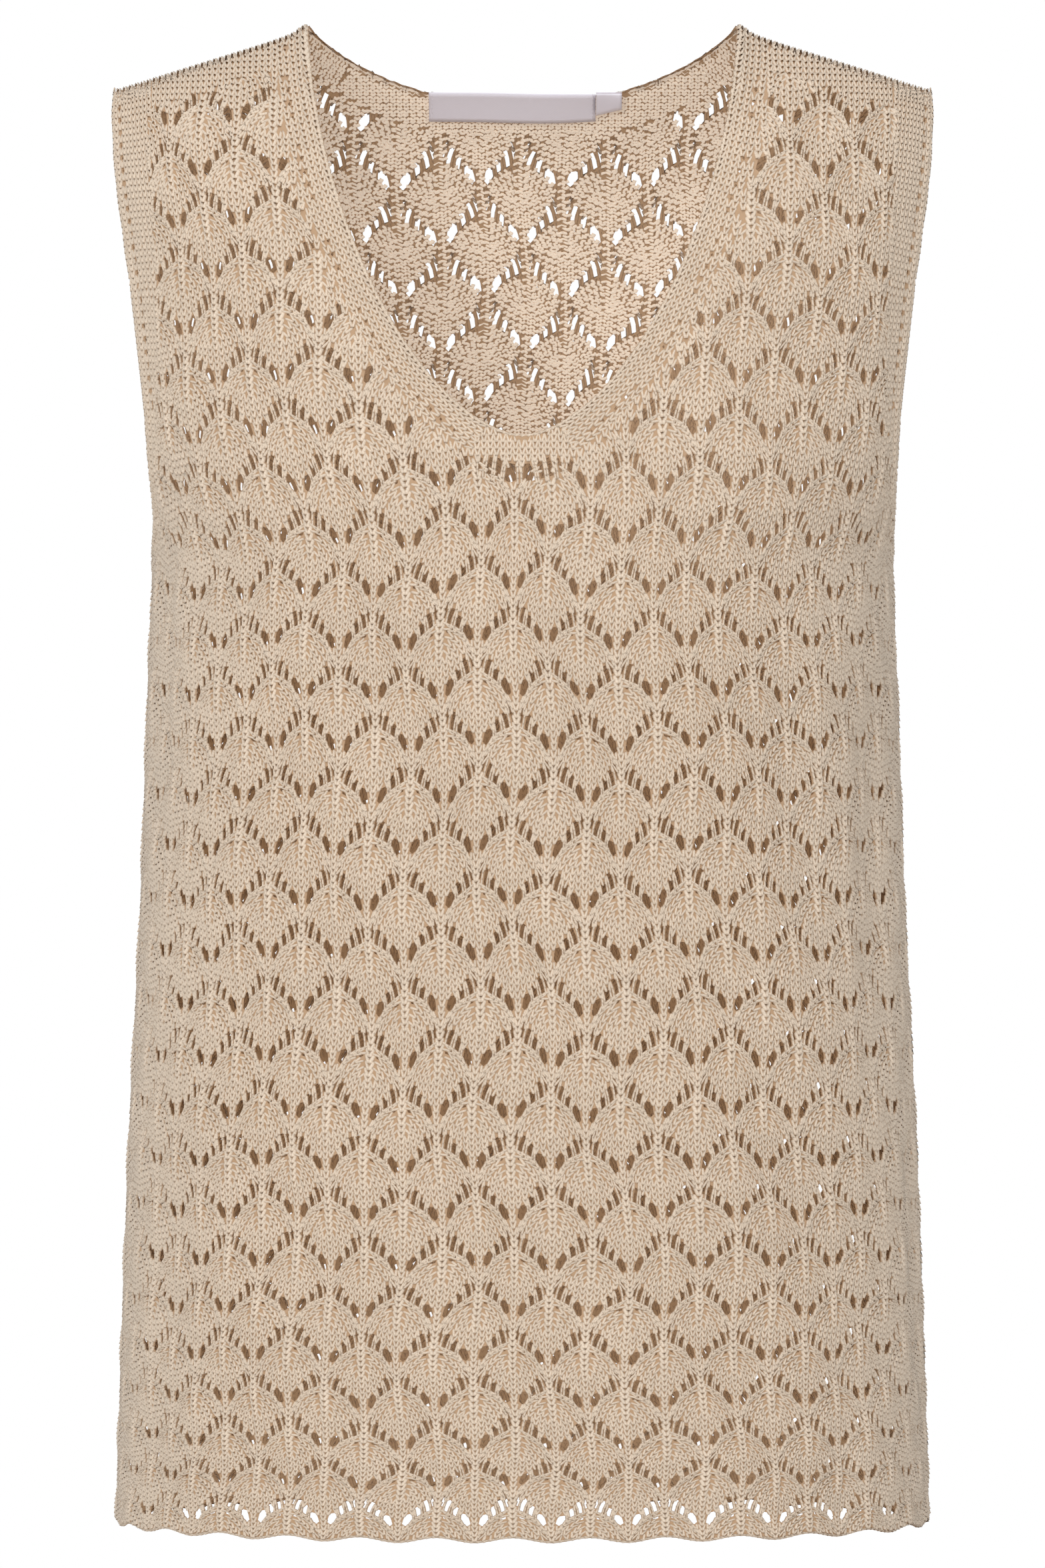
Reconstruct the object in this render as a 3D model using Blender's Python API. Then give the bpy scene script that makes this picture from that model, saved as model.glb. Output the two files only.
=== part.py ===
"""Sleeveless lace knit top with a V neck, filled out as if worn, with no wearer.

Metres, +Z up. The front faces -Y. The origin is midway between the two shoulders,
where the shoulders hold the top up, at the height of the middle of a shoulder seam.

Each panel is first laid out flat, as knitted: "along" is the distance round the
garment from the middle of the panel, and "height" is the height above the origin.
The flat panel is a grid of half repeats of the scale lace. It is trimmed to the
neck, shoulder and armhole lines, its largest gaps are opened, and then it is
thickened and laid round the shell that the sections describe.
"""

from math import cos, exp, pi

import bmesh
import bpy
import numpy as np
from mathutils import Vector
from mathutils.bvhtree import BVHTree

MM = 0.001

# Lace repeat: one scale and a second a half drop away. A cell is half a repeat each way.
# The back has fourteen repeats to the front's fifteen, a little larger, so that the gaps
# of the two panels don't lie one behind another all over the body.
LACE_COLUMNS = ("cell_width", "cell_height", "shift", "first_foot", "columns", "rows")
LACES = {
    # panel: cell size, place of the middle column, height of its first foot, cells each way
    "front": (14.25, 20.5, -3.5, -626.0, 32, 32),
    "back": (15.25, 21.68, 0.0, -633.96, 30, 31),
}
HALF_GIRTH = 213.75 * MM
HEM_HEIGHT = -611.0 * MM
SCALLOP = 1.4 * MM

# Towards the hem the rows sit closer together. Heights up to the folds below are as
# knitted; this pairs each with its height as worn. Above the first pair they are the same.
SETTLED = (
    (-425.0, -425.0),
    (-476.5, -473.8),
    (-517.5, -510.1),
    (-558.5, -543.9),
    (-599.5, -573.7),
    (-640.0, -602.0),
)

# The two round gaps under each scale, from the foot of the scale in the middle of its column
GAP_CENTRE_UP = 6.0 * MM
GAP_CORNERS = {
    # corner: (distance out from the column, height above the foot of the scale)
    "low_near": (1.5 * MM, -3.5 * MM),
    "low_far": (5.3 * MM, -2.3 * MM),
    "high_near": (2.7 * MM, 2.7 * MM),
    "high_far": (7.0 * MM, 3.6 * MM),
}
GAP_EDGE_CLEARANCE = 15.0 * MM
GAP_HEM_CLEARANCE = 27.0 * MM

# Wall: plain inside, scales and ribs raised on the outside
WALL = 1.8 * MM
RELIEF = 1.3 * MM
EDGE_ROLL = 0.6 * MM
EDGE_ROLL_WIDTH = 5.0 * MM
PLAIN_BORDER = 16.0 * MM
SEAM_GAP = 0.3 * MM

# Neck and shoulder lines, seen from the front
NECK_POINT_HEIGHT = 13.0 * MM
NECK_HALF_WIDTH = 85.0 * MM
SHOULDER_TIP_X = 164.5 * MM
SHOULDER_SLOPE = 0.31
SHOULDER_DIP = 2.4 * MM
SHOULDER_DIP_REACH = 5.0 * MM
SHOULDER_ROUNDING = 80.0 * MM
SHOULDER_LOOP_DROP = 6.0 * MM
NECKLINES = {
    # panel: (depth below the neck points, power of the width, power of the depth, lowest height)
    "front": (166.0 * MM, 1.75, 1.65, -160.0 * MM),
    "back": (26.7 * MM, 2.2, 1.15, -10.6 * MM),
}

# Sections from the shoulders down. The silhouette is the half width seen from the front.
# Where the armhole is open the wall stops short of the side: kept_share is the part of
# the whole shell's half width at which it stops. Depths are from the side seam plane.
SECTION_COLUMNS = ("height", "silhouette", "kept_share", "front_depth", "back_depth")
SECTIONS = (
    (20.0, 166.0, 0.950, 66.0, 66.0),
    (-16.0, 165.5, 0.950, 74.0, 76.0),
    (-47.0, 163.0, 0.940, 83.0, 84.0),
    (-95.0, 155.8, 0.925, 95.0, 93.0),
    (-140.0, 150.4, 0.925, 106.0, 98.0),
    (-165.0, 148.9, 0.941, 111.0, 100.0),
    (-182.0, 148.2, 0.967, 114.0, 101.0),
    (-190.0, 147.9, 0.985, 115.0, 101.3),
    (-198.0, 147.7, 1.000, 116.0, 101.5),
    (-215.0, 147.7, 1.000, 117.5, 101.5),
    (-240.0, 149.0, 1.000, 118.0, 101.0),
    (-335.0, 152.2, 1.000, 117.0, 99.0),
    (-430.0, 157.0, 1.000, 115.0, 100.0),
    (-495.0, 159.4, 1.000, 114.5, 103.0),
    (-590.0, 162.4, 1.000, 115.0, 106.0),
)
SECTION_POWER = 2.3
SECTION_SMOOTHING = 8.0 * MM
GIRTH_SECTION_HEIGHT = -335.0 * MM

# Soft upright folds pushed into the wall
FOLD_COLUMNS = ("panel", "along", "top", "foot", "half_width", "depth")
FOLDS = (
    ("front", 158.0, -200.0, -455.0, 21.0, 3.2),
    ("front", 186.0, -330.0, -600.0, 17.0, 2.4),
    ("front", -172.0, -130.0, -330.0, 20.0, 2.6),
    ("front", -150.0, -420.0, -620.0, 22.0, 2.2),
    ("front", 60.0, -500.0, -640.0, 24.0, 1.8),
    ("front", -52.0, -505.0, -640.0, 22.0, -1.6),
    ("back", 150.0, -180.0, -420.0, 22.0, 2.8),
    ("back", -165.0, -250.0, -520.0, 20.0, 3.0),
    ("back", 40.0, -480.0, -640.0, 26.0, 2.0),
    ("back", -70.0, -150.0, -330.0, 28.0, 1.8),
)

# Woven label sewn inside the back neck, and the folded size tab beside it
LABEL_LEFT = -37.9 * MM
LABEL_RIGHT = 29.6 * MM
LABEL_TOP = -8.8 * MM
LABEL_HEIGHT = 11.0 * MM
LABEL_THICKNESS = 1.0 * MM
LABEL_COLUMNS = 8
TAB_LEFT = 30.2 * MM
TAB_RIGHT = 40.2 * MM
TAB_TOP = -8.6 * MM
TAB_HEIGHT = 9.2 * MM
TAB_LAYER = 0.8 * MM
TAB_LOOP_GAP = 0.8 * MM
SEAT_GAP = 0.35 * MM
SEAT_TOP = -11.4 * MM
SEAT_STEP = 1.5 * MM

# Trimming of the flat grid
SNAP = 5.0 * MM
LOOP_SNAP = 2.6 * MM
SLIDES = 4
STEP = 0.4 * MM
ON_LINE = 0.02 * MM
FLAT_SLOPE = 1e-6
GRID_TOLERANCE = 0.01
WHOLE_CELL_SHARE = 0.98
GAP_INSET = 1.0 * MM
PLACE_DIGITS = 7
GIRTH_STEPS = 721

YARN = (0.70, 0.59, 0.46, 1.0)
YARN_BACK = (0.66, 0.55, 0.43, 1.0)
SATIN = (0.68, 0.63, 0.72, 1.0)
TAB_SATIN = (0.66, 0.60, 0.68, 1.0)

SIDE = {"front": -1.0, "back": 1.0}


def lace_size(panel, name):
    """One size of a panel's lace, in metres, or a number of cells."""
    value = LACES[panel][LACE_COLUMNS.index(name)]
    return value if name in ("columns", "rows") else value * MM


def clear_scene():
    """Remove whatever the opened scene holds."""
    for item in list(bpy.data.objects):
        bpy.data.objects.remove(item, do_unlink=True)


def section_value(name, height):
    """Read one column of the sections at a height, with its sizes softened between rows."""
    column = SECTION_COLUMNS.index(name)
    heights = [row[0] * MM for row in reversed(SECTIONS)]
    if name == "kept_share":
        return float(np.interp(height, heights, [row[column] for row in reversed(SECTIONS)]))
    values = [row[column] * MM for row in reversed(SECTIONS)]
    low, middle, high = np.interp(
        [height - SECTION_SMOOTHING, height, height + SECTION_SMOOTHING], heights, values
    )
    return (low + 2 * middle + high) / 4


def shell_half_width(height):
    """Half width of the whole shell, as if its armholes were closed."""
    silhouette = section_value("silhouette", height) - WALL - RELIEF / 2
    return silhouette / section_value("kept_share", height)


def girth_table():
    """Pair each share of the half girth with its share of the half width."""
    turn = np.linspace(0.0, pi / 2, GIRTH_STEPS)
    width = shell_half_width(GIRTH_SECTION_HEIGHT)
    depth = section_value("front_depth", GIRTH_SECTION_HEIGHT)
    depth = (depth + section_value("back_depth", GIRTH_SECTION_HEIGHT)) / 2
    across = width * np.sin(turn) ** (2 / SECTION_POWER)
    out = depth * np.cos(turn) ** (2 / SECTION_POWER)
    lengths = np.concatenate(([0.0], np.cumsum(np.hypot(np.diff(across), np.diff(out)))))
    return lengths / lengths[-1], across / width


GIRTH_SHARES, WIDTH_SHARES = girth_table()
UNDERARM_HEIGHT = max(row[0] for row in SECTIONS if row[2] >= 1.0) * MM


def width_share(along):
    """Share of the shell's half width at a distance round the panel, with its sign."""
    share = np.interp(min(abs(along) / HALF_GIRTH, 1.0), GIRTH_SHARES, WIDTH_SHARES)
    return float(share) * (1.0 if along >= 0 else -1.0)


def across_at(along, height):
    """Distance from the middle plane, seen from the front."""
    return shell_half_width(height) * width_share(along)


def shoulder_height(across):
    """Height of the shoulder seam above a point, level across the neck."""
    past_neck = max(abs(across) - NECK_HALF_WIDTH, 0.0)
    dip = SHOULDER_DIP * (1 - exp(-past_neck / SHOULDER_DIP_REACH))
    return NECK_POINT_HEIGHT - SHOULDER_SLOPE * past_neck - dip


def settled(height):
    """Height as worn of a height as knitted."""
    if height >= SETTLED[0][0] * MM:
        return height
    knitted, worn = zip(*reversed(SETTLED))
    return float(np.interp(height / MM, knitted, worn)) * MM


def wall_depth(panel, across, height):
    """Distance of the wall's inside from the plane of the side seams."""
    reach = min(abs(across) / shell_half_width(height), 1.0)
    drop = max(shoulder_height(across) - height, 0.0)
    turn = min(drop / SHOULDER_ROUNDING, 1.0)
    rounding = (1.0 - (1.0 - turn) ** 2) ** 0.5
    side = (1.0 - reach ** SECTION_POWER) ** (1 / SECTION_POWER)
    return section_value(panel + "_depth", height) * rounding * side


def fold_depth(panel, along, height):
    """How far the folds push the wall in at a point of the flat panel."""
    total = 0.0
    for row in FOLDS:
        fold = dict(zip(FOLD_COLUMNS, row))
        middle = (fold["top"] + fold["foot"]) / 2 * MM
        reach = (fold["top"] - fold["foot"]) / 2 * MM
        sideways = abs(along - fold["along"] * MM) / (fold["half_width"] * MM)
        upward = abs(settled(height) - middle) / reach
        if fold["panel"] == panel and sideways < 1.0 and upward < 1.0:
            profile = (1 + cos(pi * sideways)) / 2 * (1 + cos(pi * upward)) / 2
            total += fold["depth"] * MM * profile
    return total


def shell_point(panel, along, height):
    """Point of the smooth shell for a point of the flat panel."""
    worn = settled(height)
    across = across_at(along, worn)
    return Vector((across, SIDE[panel] * wall_depth(panel, across, worn), worn))


def shell_normal(panel, along, height):
    """Outward direction of the smooth shell, from small steps that stay on it."""
    reach = HALF_GIRTH - STEP
    middle = max(-reach, min(along, reach))
    top = min(height + STEP, shoulder_height(across_at(along, height)))
    sideways = shell_point(panel, middle + STEP, height) - shell_point(panel, middle - STEP, height)
    upward = shell_point(panel, along, top) - shell_point(panel, along, height - STEP)
    normal = sideways.cross(upward) * -SIDE[panel]
    return normal.normalized()


def neck_margin(panel, along, height):
    """Positive outside the neck opening, negative inside it."""
    depth, width_power, depth_power, lowest = NECKLINES[panel]
    across = abs(across_at(along, height)) / NECK_HALF_WIDTH
    down = max(NECK_POINT_HEIGHT - height, 0.0) / depth
    return max(across ** width_power + down ** depth_power - 1.0, (lowest - height) / depth)


def shoulder_margin(panel, along, height):
    """Height left between a point and the shoulder seam above it."""
    return shoulder_height(across_at(along, height)) - height


def armhole_margin(panel, along, height):
    """Distance left round the panel before the armhole, or the side seam below it."""
    kept = min(section_value("kept_share", height), 1.0)
    return float(np.interp(kept, WIDTH_SHARES, GIRTH_SHARES)) * HALF_GIRTH - abs(along)


def hem_margin(panel, along, height):
    """Height of a point above the hem."""
    return height - HEM_HEIGHT


def distance_to(margin, panel, along, height):
    """Turn a margin into a distance on the flat panel, with its direction."""
    value = margin(panel, along, height)
    slope = Vector((
        margin(panel, along + STEP, height) - margin(panel, along - STEP, height),
        margin(panel, along, height + STEP) - margin(panel, along, height - STEP),
    )) / (2 * STEP)
    if slope.length < FLAT_SLOPE:
        return value, Vector((0.0, 0.0))
    return value / slope.length, slope.normalized()


EDGE_LINES = (neck_margin, shoulder_margin, armhole_margin)
TRIM_LINES = EDGE_LINES + (hem_margin,)


def trim_distance(panel, along, height, lines=TRIM_LINES):
    """Distance to the nearest cut line of a panel, positive on the kept side."""
    return min(
        (distance_to(line, panel, along, height) for line in lines),
        key=lambda found: found[0],
    )


def edge_distance(panel, along, height):
    """Distance to the nearest plain border, leaving out the side seam and the hem."""
    if height < UNDERARM_HEIGHT and abs(along) > HALF_GIRTH / 2:
        return UNDERARM_HEIGHT - height
    return max(trim_distance(panel, along, height, EDGE_LINES)[0], 0.0)


def slide_to_line(vert, line_distance):
    """Move a point of the flat panel onto a line, in a few steps along its slope."""
    for _ in range(SLIDES):
        gap, slope = line_distance(vert.co.x, vert.co.y)
        vert.co.x -= slope.x * gap
        vert.co.y -= slope.y * gap


def parting_ends(signs):
    """The two corners on a line that part a face's corners inside from those outside."""
    count = len(signs)
    for first in range(count):
        for last in range(first + 2, count):
            between, around = signs[first + 1:last], signs[last + 1:] + signs[:first]
            apart = min(between) * max(around, default=0) < 0 or max(between) * min(around, default=0) < 0
            mixed = min(between) * max(between) < 0 or around and min(around) * max(around) < 0
            if signs[first] == 0 == signs[last] and apart and not mixed:
                return first, last
    raise ValueError("a face crosses a line at no two corners")


def split_along(mesh, line_distance, snap, locked):
    """Put edges along a line: points near it slide onto it, other edges are split."""
    def gap_at(vert):
        return line_distance(vert.co.x, vert.co.y)[0]

    for vert in mesh.verts:
        if vert not in locked and abs(gap_at(vert)) < snap:
            slide_to_line(vert, line_distance)
    on_line = {vert for vert in mesh.verts if abs(gap_at(vert)) < ON_LINE}
    for edge in list(mesh.edges):
        start, end = edge.verts
        if start in on_line or end in on_line:
            continue
        near, far = gap_at(start), gap_at(end)
        if near * far < 0:
            _, added = bmesh.utils.edge_split(edge, start, near / (near - far))
            slide_to_line(added, line_distance)
            on_line.add(added)
    for face in list(mesh.faces):
        signs = [0 if vert in on_line else gap_at(vert) for vert in face.verts]
        if min(signs) < 0 < max(signs):
            ends = parting_ends(signs)
            bmesh.utils.face_split(face, face.verts[ends[0]], face.verts[ends[1]])
    return on_line


def nearest_vert(mesh, along, height):
    """The point of the flat grid nearest to a place."""
    return min(mesh.verts, key=lambda vert: (vert.co.x - along) ** 2 + (vert.co.y - height) ** 2)


def along_at(across, height):
    """Distance round the panel of a point given by its distance from the middle plane."""
    share = min(abs(across) / shell_half_width(height), 1.0)
    along = float(np.interp(share, WIDTH_SHARES, GIRTH_SHARES)) * HALF_GIRTH
    return along if across >= 0 else -along


def flat_grid(panel):
    """The uncut grid of half repeats, with x along the panel and y as the height."""
    mesh = bmesh.new()
    columns, rows = lace_size(panel, "columns"), lace_size(panel, "rows")
    bmesh.ops.create_grid(mesh, x_segments=columns, y_segments=rows, size=0.5)
    width = columns * lace_size(panel, "cell_width")
    height = rows * lace_size(panel, "cell_height")
    middle = (lace_size(panel, "shift"), lace_size(panel, "first_foot") + height / 2, 0.0)
    bmesh.ops.scale(mesh, vec=(width, height, 1.0), verts=mesh.verts)
    bmesh.ops.translate(mesh, vec=middle, verts=mesh.verts)
    return mesh


def trim_panel(mesh, panel):
    """Cut the flat grid to the neck, shoulder and armhole lines."""
    locked = set()
    corners = (
        (NECK_HALF_WIDTH, NECK_POINT_HEIGHT),
        (SHOULDER_TIP_X, shoulder_height(SHOULDER_TIP_X)),
        (shell_half_width(UNDERARM_HEIGHT), UNDERARM_HEIGHT),
        (shell_half_width(HEM_HEIGHT), HEM_HEIGHT),
    )
    for across, height in corners:
        for side in (-1.0, 1.0):
            along = along_at(side * across, height)
            vert = nearest_vert(mesh, along, height)
            vert.co.x, vert.co.y = along, height
            locked.add(vert)

    def to_cut(along, height):
        return trim_distance(panel, along, height)

    on_cut = split_along(mesh, to_cut, SNAP, locked) | locked
    doomed = [
        face for face in mesh.faces
        if min(0 if vert in on_cut else to_cut(vert.co.x, vert.co.y)[0] for vert in face.verts) < 0
        or all(vert in on_cut for vert in face.verts)
        and to_cut(*face.calc_center_median().to_2d())[0] < 0
    ]
    bmesh.ops.delete(mesh, geom=doomed, context="FACES")

    def to_shoulder_loop(along, height):
        gap, slope = distance_to(shoulder_margin, panel, along, height)
        return gap - SHOULDER_LOOP_DROP, slope

    edge_verts = {vert for vert in mesh.verts if vert.is_boundary}
    split_along(mesh, to_shoulder_loop, LOOP_SNAP, edge_verts)


def is_low(column, row):
    """True where a grid point lies under the foot of a scale, between its two gaps."""
    return (column + row) % 2 == 0


def grid_place(vert, panel):
    """Column and row of an unmoved grid point, or None for any other point."""
    column = (vert.co.x - lace_size(panel, "shift")) / lace_size(panel, "cell_width")
    row = (vert.co.y - lace_size(panel, "first_foot")) / lace_size(panel, "cell_height")
    off_grid = max(abs(column - round(column)), abs(row - round(row)))
    return (round(column), round(row)) if off_grid < GRID_TOLERANCE else None


def whole_cells(mesh, panel):
    """Faces that are still whole cells, keyed by the column and row of their low left corner."""
    cells = {}
    whole = lace_size(panel, "cell_width") * lace_size(panel, "cell_height")
    for face in mesh.faces:
        places = [grid_place(vert, panel) for vert in face.verts]
        if len(places) == 4 and None not in places:
            column = min(place[0] for place in places)
            row = min(place[1] for place in places)
            if face.calc_area() > WHOLE_CELL_SHARE * whole:
                cells[column, row] = face
    return cells


def gap_cells(mesh, panel):
    """Cells that take a gap: a pair under the scales of every second repeat each way."""
    cells = whole_cells(mesh, panel)
    chosen = []
    for (column, row), face in cells.items():
        foot_column = column if is_low(column, row) else column + 1
        side = 1.0 if foot_column == column else -1.0
        if foot_column % 2 or (foot_column // 2 + row // 2) % 2:
            continue
        partner = (foot_column - 1 if side > 0 else foot_column, row)
        if partner not in cells:
            continue
        foot = lace_size(panel, "first_foot") + row * lace_size(panel, "cell_height")
        height = foot + GAP_CENTRE_UP
        along = lace_size(panel, "shift") + foot_column * lace_size(panel, "cell_width")
        clear = trim_distance(panel, along, height)[0] > GAP_EDGE_CLEARANCE
        if clear and height > HEM_HEIGHT + GAP_HEM_CLEARANCE:
            chosen.append((face, along, height, side))
    return chosen


def open_gaps(mesh, panel):
    """Open the chosen gaps and return how many there are."""
    chosen = gap_cells(mesh, panel)
    faces = [item[0] for item in chosen]
    bmesh.ops.inset_individual(mesh, faces=faces, thickness=GAP_INSET, use_even_offset=True)
    for face, along, height, side in chosen:
        middle = face.calc_center_median()
        for vert in face.verts:
            outer = (vert.co.x - middle.x) * side > 0
            level = "high" if vert.co.y > middle.y else "low"
            reach, rise = GAP_CORNERS[level + ("_far" if outer else "_near")]
            vert.co.x = along + side * reach
            vert.co.y = height + rise
    bmesh.ops.delete(mesh, geom=faces, context="FACES_ONLY")
    return len(faces)


def crease_scales(mesh, panel):
    """Split each whole cell along its two high corners, so that the scales stand as ridges."""
    for face in whole_cells(mesh, panel).values():
        high = [vert for vert in face.verts if not is_low(*grid_place(vert, panel))]
        bmesh.utils.face_split(face, high[0], high[1])
    bmesh.ops.triangulate(mesh, faces=mesh.faces, quad_method="BEAUTY")


def relief_at(panel, along, height):
    """Height of the scales above the wall, fading out in the plain borders."""
    columns = (along - lace_size(panel, "shift")) / lace_size(panel, "cell_width")
    rows = (height - lace_size(panel, "first_foot")) / lace_size(panel, "cell_height")
    phase = cos(pi * columns) * cos(pi * rows)
    border = edge_distance(panel, along, height)
    fade = min(border / PLAIN_BORDER, 1.0)
    roll = max(1.0 - border / EDGE_ROLL_WIDTH, 0.0)
    return RELIEF * fade * (1.0 - phase) / 2 + EDGE_ROLL * roll


def scallop_at(panel, along):
    """Wave of the hem: lowest under the columns between the last feet."""
    return SCALLOP * cos(pi * (along - lace_size(panel, "shift")) / lace_size(panel, "cell_width"))


def wall_points(panel, along, height):
    """Inner and outer point of the wall for a point of the flat panel."""
    normal = shell_normal(panel, along, height)
    inner = shell_point(panel, along, height) - normal * fold_depth(panel, along, height)
    if abs(height - HEM_HEIGHT) < ON_LINE:
        inner.z += scallop_at(panel, along)
    outer = inner + normal * (WALL + relief_at(panel, along, height))
    for point in (inner, outer):
        seam = SIDE[panel] * SEAM_GAP / 2
        point.y = min(point.y, seam) if panel == "front" else max(point.y, seam)
    return inner, outer


def finish_object(mesh, name, color, roughness, collection):
    """Turn a closed bmesh into an object with its own material."""
    data = bpy.data.meshes.new(name)
    bmesh.ops.recalc_face_normals(mesh, faces=mesh.faces)
    mesh.to_mesh(data)
    material = bpy.data.materials.new(name + "_material")
    material.use_nodes = True
    shader = material.node_tree.nodes["Principled BSDF"]
    shader.inputs["Base Color"].default_value = color
    shader.inputs["Roughness"].default_value = roughness
    shader.inputs["Metallic"].default_value = 0.0
    data.materials.append(material)
    result = bpy.data.objects.new(name, data)
    collection.objects.link(result)
    return result


def make_panel(panel, color, collection):
    """Lay out, trim, pierce, thicken and form one panel."""
    mesh = flat_grid(panel)
    trim_panel(mesh, panel)
    gaps = open_gaps(mesh, panel)
    crease_scales(mesh, panel)
    loose = [vert for vert in mesh.verts if not vert.link_faces]
    bmesh.ops.delete(mesh, geom=loose, context="VERTS")
    bmesh.ops.recalc_face_normals(mesh, faces=mesh.faces)
    extruded = bmesh.ops.extrude_face_region(mesh, geom=mesh.faces[:], use_keep_orig=True)
    outer_verts = {item for item in extruded["geom"] if isinstance(item, bmesh.types.BMVert)}
    places = {}
    for vert in mesh.verts:
        key = (round(vert.co.x, PLACE_DIGITS), round(vert.co.y, PLACE_DIGITS))
        if key not in places:
            places[key] = wall_points(panel, vert.co.x, vert.co.y)
        vert.co = places[key][1 if vert in outer_verts else 0]
    bmesh.ops.triangulate(mesh, faces=mesh.faces, quad_method="BEAUTY")
    result = finish_object(mesh, panel + "_panel", color, 0.9, collection)
    print(panel, "gaps", gaps, "triangles", len(mesh.faces))
    mesh.free()
    return result


def inner_wall_y(tree, across, height):
    """Y of the back panel's inside at a point, carried on upwards past the neck edge."""
    places = []
    for level in (min(height, SEAT_TOP), SEAT_TOP - SEAT_STEP):
        hit = tree.ray_cast(Vector((across, 0.0, level)), Vector((0.0, 1.0, 0.0)))
        places.append(hit[0].y)
    past_edge = max(height - SEAT_TOP, 0.0)
    return places[0] + (places[0] - places[1]) * past_edge / SEAT_STEP


def make_label(tree, collection):
    """A flat strip that follows the inside of the back neck."""
    mesh = bmesh.new()
    bmesh.ops.create_grid(mesh, x_segments=LABEL_COLUMNS, y_segments=2, size=0.5)
    width = LABEL_RIGHT - LABEL_LEFT
    for vert in mesh.verts:
        across = (LABEL_LEFT + LABEL_RIGHT) / 2 + vert.co.x * width
        height = LABEL_TOP - LABEL_HEIGHT / 2 + vert.co.y * LABEL_HEIGHT
        vert.co = (across, inner_wall_y(tree, across, height) - SEAT_GAP, height)
    extruded = bmesh.ops.extrude_face_region(mesh, geom=mesh.faces[:], use_keep_orig=True)
    front = [item for item in extruded["geom"] if isinstance(item, bmesh.types.BMVert)]
    bmesh.ops.translate(mesh, vec=(0.0, -LABEL_THICKNESS, 0.0), verts=front)
    bmesh.ops.triangulate(mesh, faces=mesh.faces)
    return finish_object(mesh, "neck_label", SATIN, 0.45, collection)


def make_size_tab(tree, collection):
    """A short tape folded double, its fold hanging down, its ends under the neck edge."""
    thick = 2 * TAB_LAYER + TAB_LOOP_GAP
    foot = TAB_TOP - TAB_HEIGHT
    outline = (
        (0.0, TAB_TOP),
        (0.0, foot + thick / 2),
        (TAB_LAYER, foot),
        (thick - TAB_LAYER, foot),
        (thick, foot + thick / 2),
        (thick, TAB_TOP),
        (thick - TAB_LAYER, TAB_TOP),
        (thick - TAB_LAYER, foot + thick / 2),
        (TAB_LAYER, foot + thick / 2),
        (TAB_LAYER, TAB_TOP),
    )
    mesh = bmesh.new()
    verts = [mesh.verts.new((TAB_LEFT, -offset, height)) for offset, height in outline]
    end = mesh.faces.new(verts)
    extruded = bmesh.ops.extrude_face_region(mesh, geom=[end], use_keep_orig=True)
    moved = [item for item in extruded["geom"] if isinstance(item, bmesh.types.BMVert)]
    bmesh.ops.translate(mesh, vec=(TAB_RIGHT - TAB_LEFT, 0.0, 0.0), verts=moved)
    for vert in mesh.verts:
        vert.co.y += inner_wall_y(tree, vert.co.x, vert.co.z) - SEAT_GAP
    bmesh.ops.triangulate(mesh, faces=mesh.faces)
    return finish_object(mesh, "size_tab", TAB_SATIN, 0.5, collection)


def main():
    """Build the top: two knitted panels, the label and the size tab."""
    clear_scene()
    collection = bpy.data.collections.new("lace_knit_top")
    bpy.context.scene.collection.children.link(collection)
    make_panel("front", YARN, collection)
    back = make_panel("back", YARN_BACK, collection)
    tree = BVHTree.FromPolygons(
        [vert.co for vert in back.data.vertices],
        [face.vertices for face in back.data.polygons],
    )
    make_label(tree, collection)
    make_size_tab(tree, collection)


main()
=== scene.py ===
"""Looks of a sleeveless scale-lace knit top, filled out as if worn, with no wearer.

Metres, +Z up, the front faces -Y, the origin is midway between the shoulders. Each
panel is knitted flat first, "along" the garment and at a "height", and then laid
round the shell that its sections describe.
"""

from __future__ import annotations

import logging
from dataclasses import dataclass, field
from enum import Enum
from functools import cached_property
from math import pi

import bmesh
import bpy
import numpy as np
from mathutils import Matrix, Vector
from mathutils.geometry import delaunay_2d_cdt

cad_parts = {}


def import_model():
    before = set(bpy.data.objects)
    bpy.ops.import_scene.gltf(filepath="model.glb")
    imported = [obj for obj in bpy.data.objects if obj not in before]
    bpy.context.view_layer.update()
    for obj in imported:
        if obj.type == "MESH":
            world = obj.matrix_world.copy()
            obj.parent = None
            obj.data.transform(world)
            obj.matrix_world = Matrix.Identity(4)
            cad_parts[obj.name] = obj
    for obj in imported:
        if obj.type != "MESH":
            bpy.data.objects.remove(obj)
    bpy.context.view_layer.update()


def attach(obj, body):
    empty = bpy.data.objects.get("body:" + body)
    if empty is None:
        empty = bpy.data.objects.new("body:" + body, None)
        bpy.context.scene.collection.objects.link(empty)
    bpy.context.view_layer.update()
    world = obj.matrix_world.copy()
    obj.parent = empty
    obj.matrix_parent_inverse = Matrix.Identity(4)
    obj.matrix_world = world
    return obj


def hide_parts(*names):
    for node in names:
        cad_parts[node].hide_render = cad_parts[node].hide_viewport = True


LOG = logging.getLogger("lace_knit_top")
MM = 0.001
SEED = 7

Points = np.ndarray


def linear(hex_colour: str) -> tuple[float, float, float, float]:
    """Turn an sRGB hex colour into Blender's linear RGBA.

    Args:
        hex_colour: Six hex digits after a hash.

    Returns:
        Linear red, green, blue and an alpha of one.
    """
    parts = [int(hex_colour[i:i + 2], 16) / 255 for i in (1, 3, 5)]
    red, green, blue = (
        part / 12.92 if part <= 0.04045 else ((part + 0.055) / 1.055) ** 2.4 for part in parts
    )
    return red, green, blue, 1.0


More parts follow.
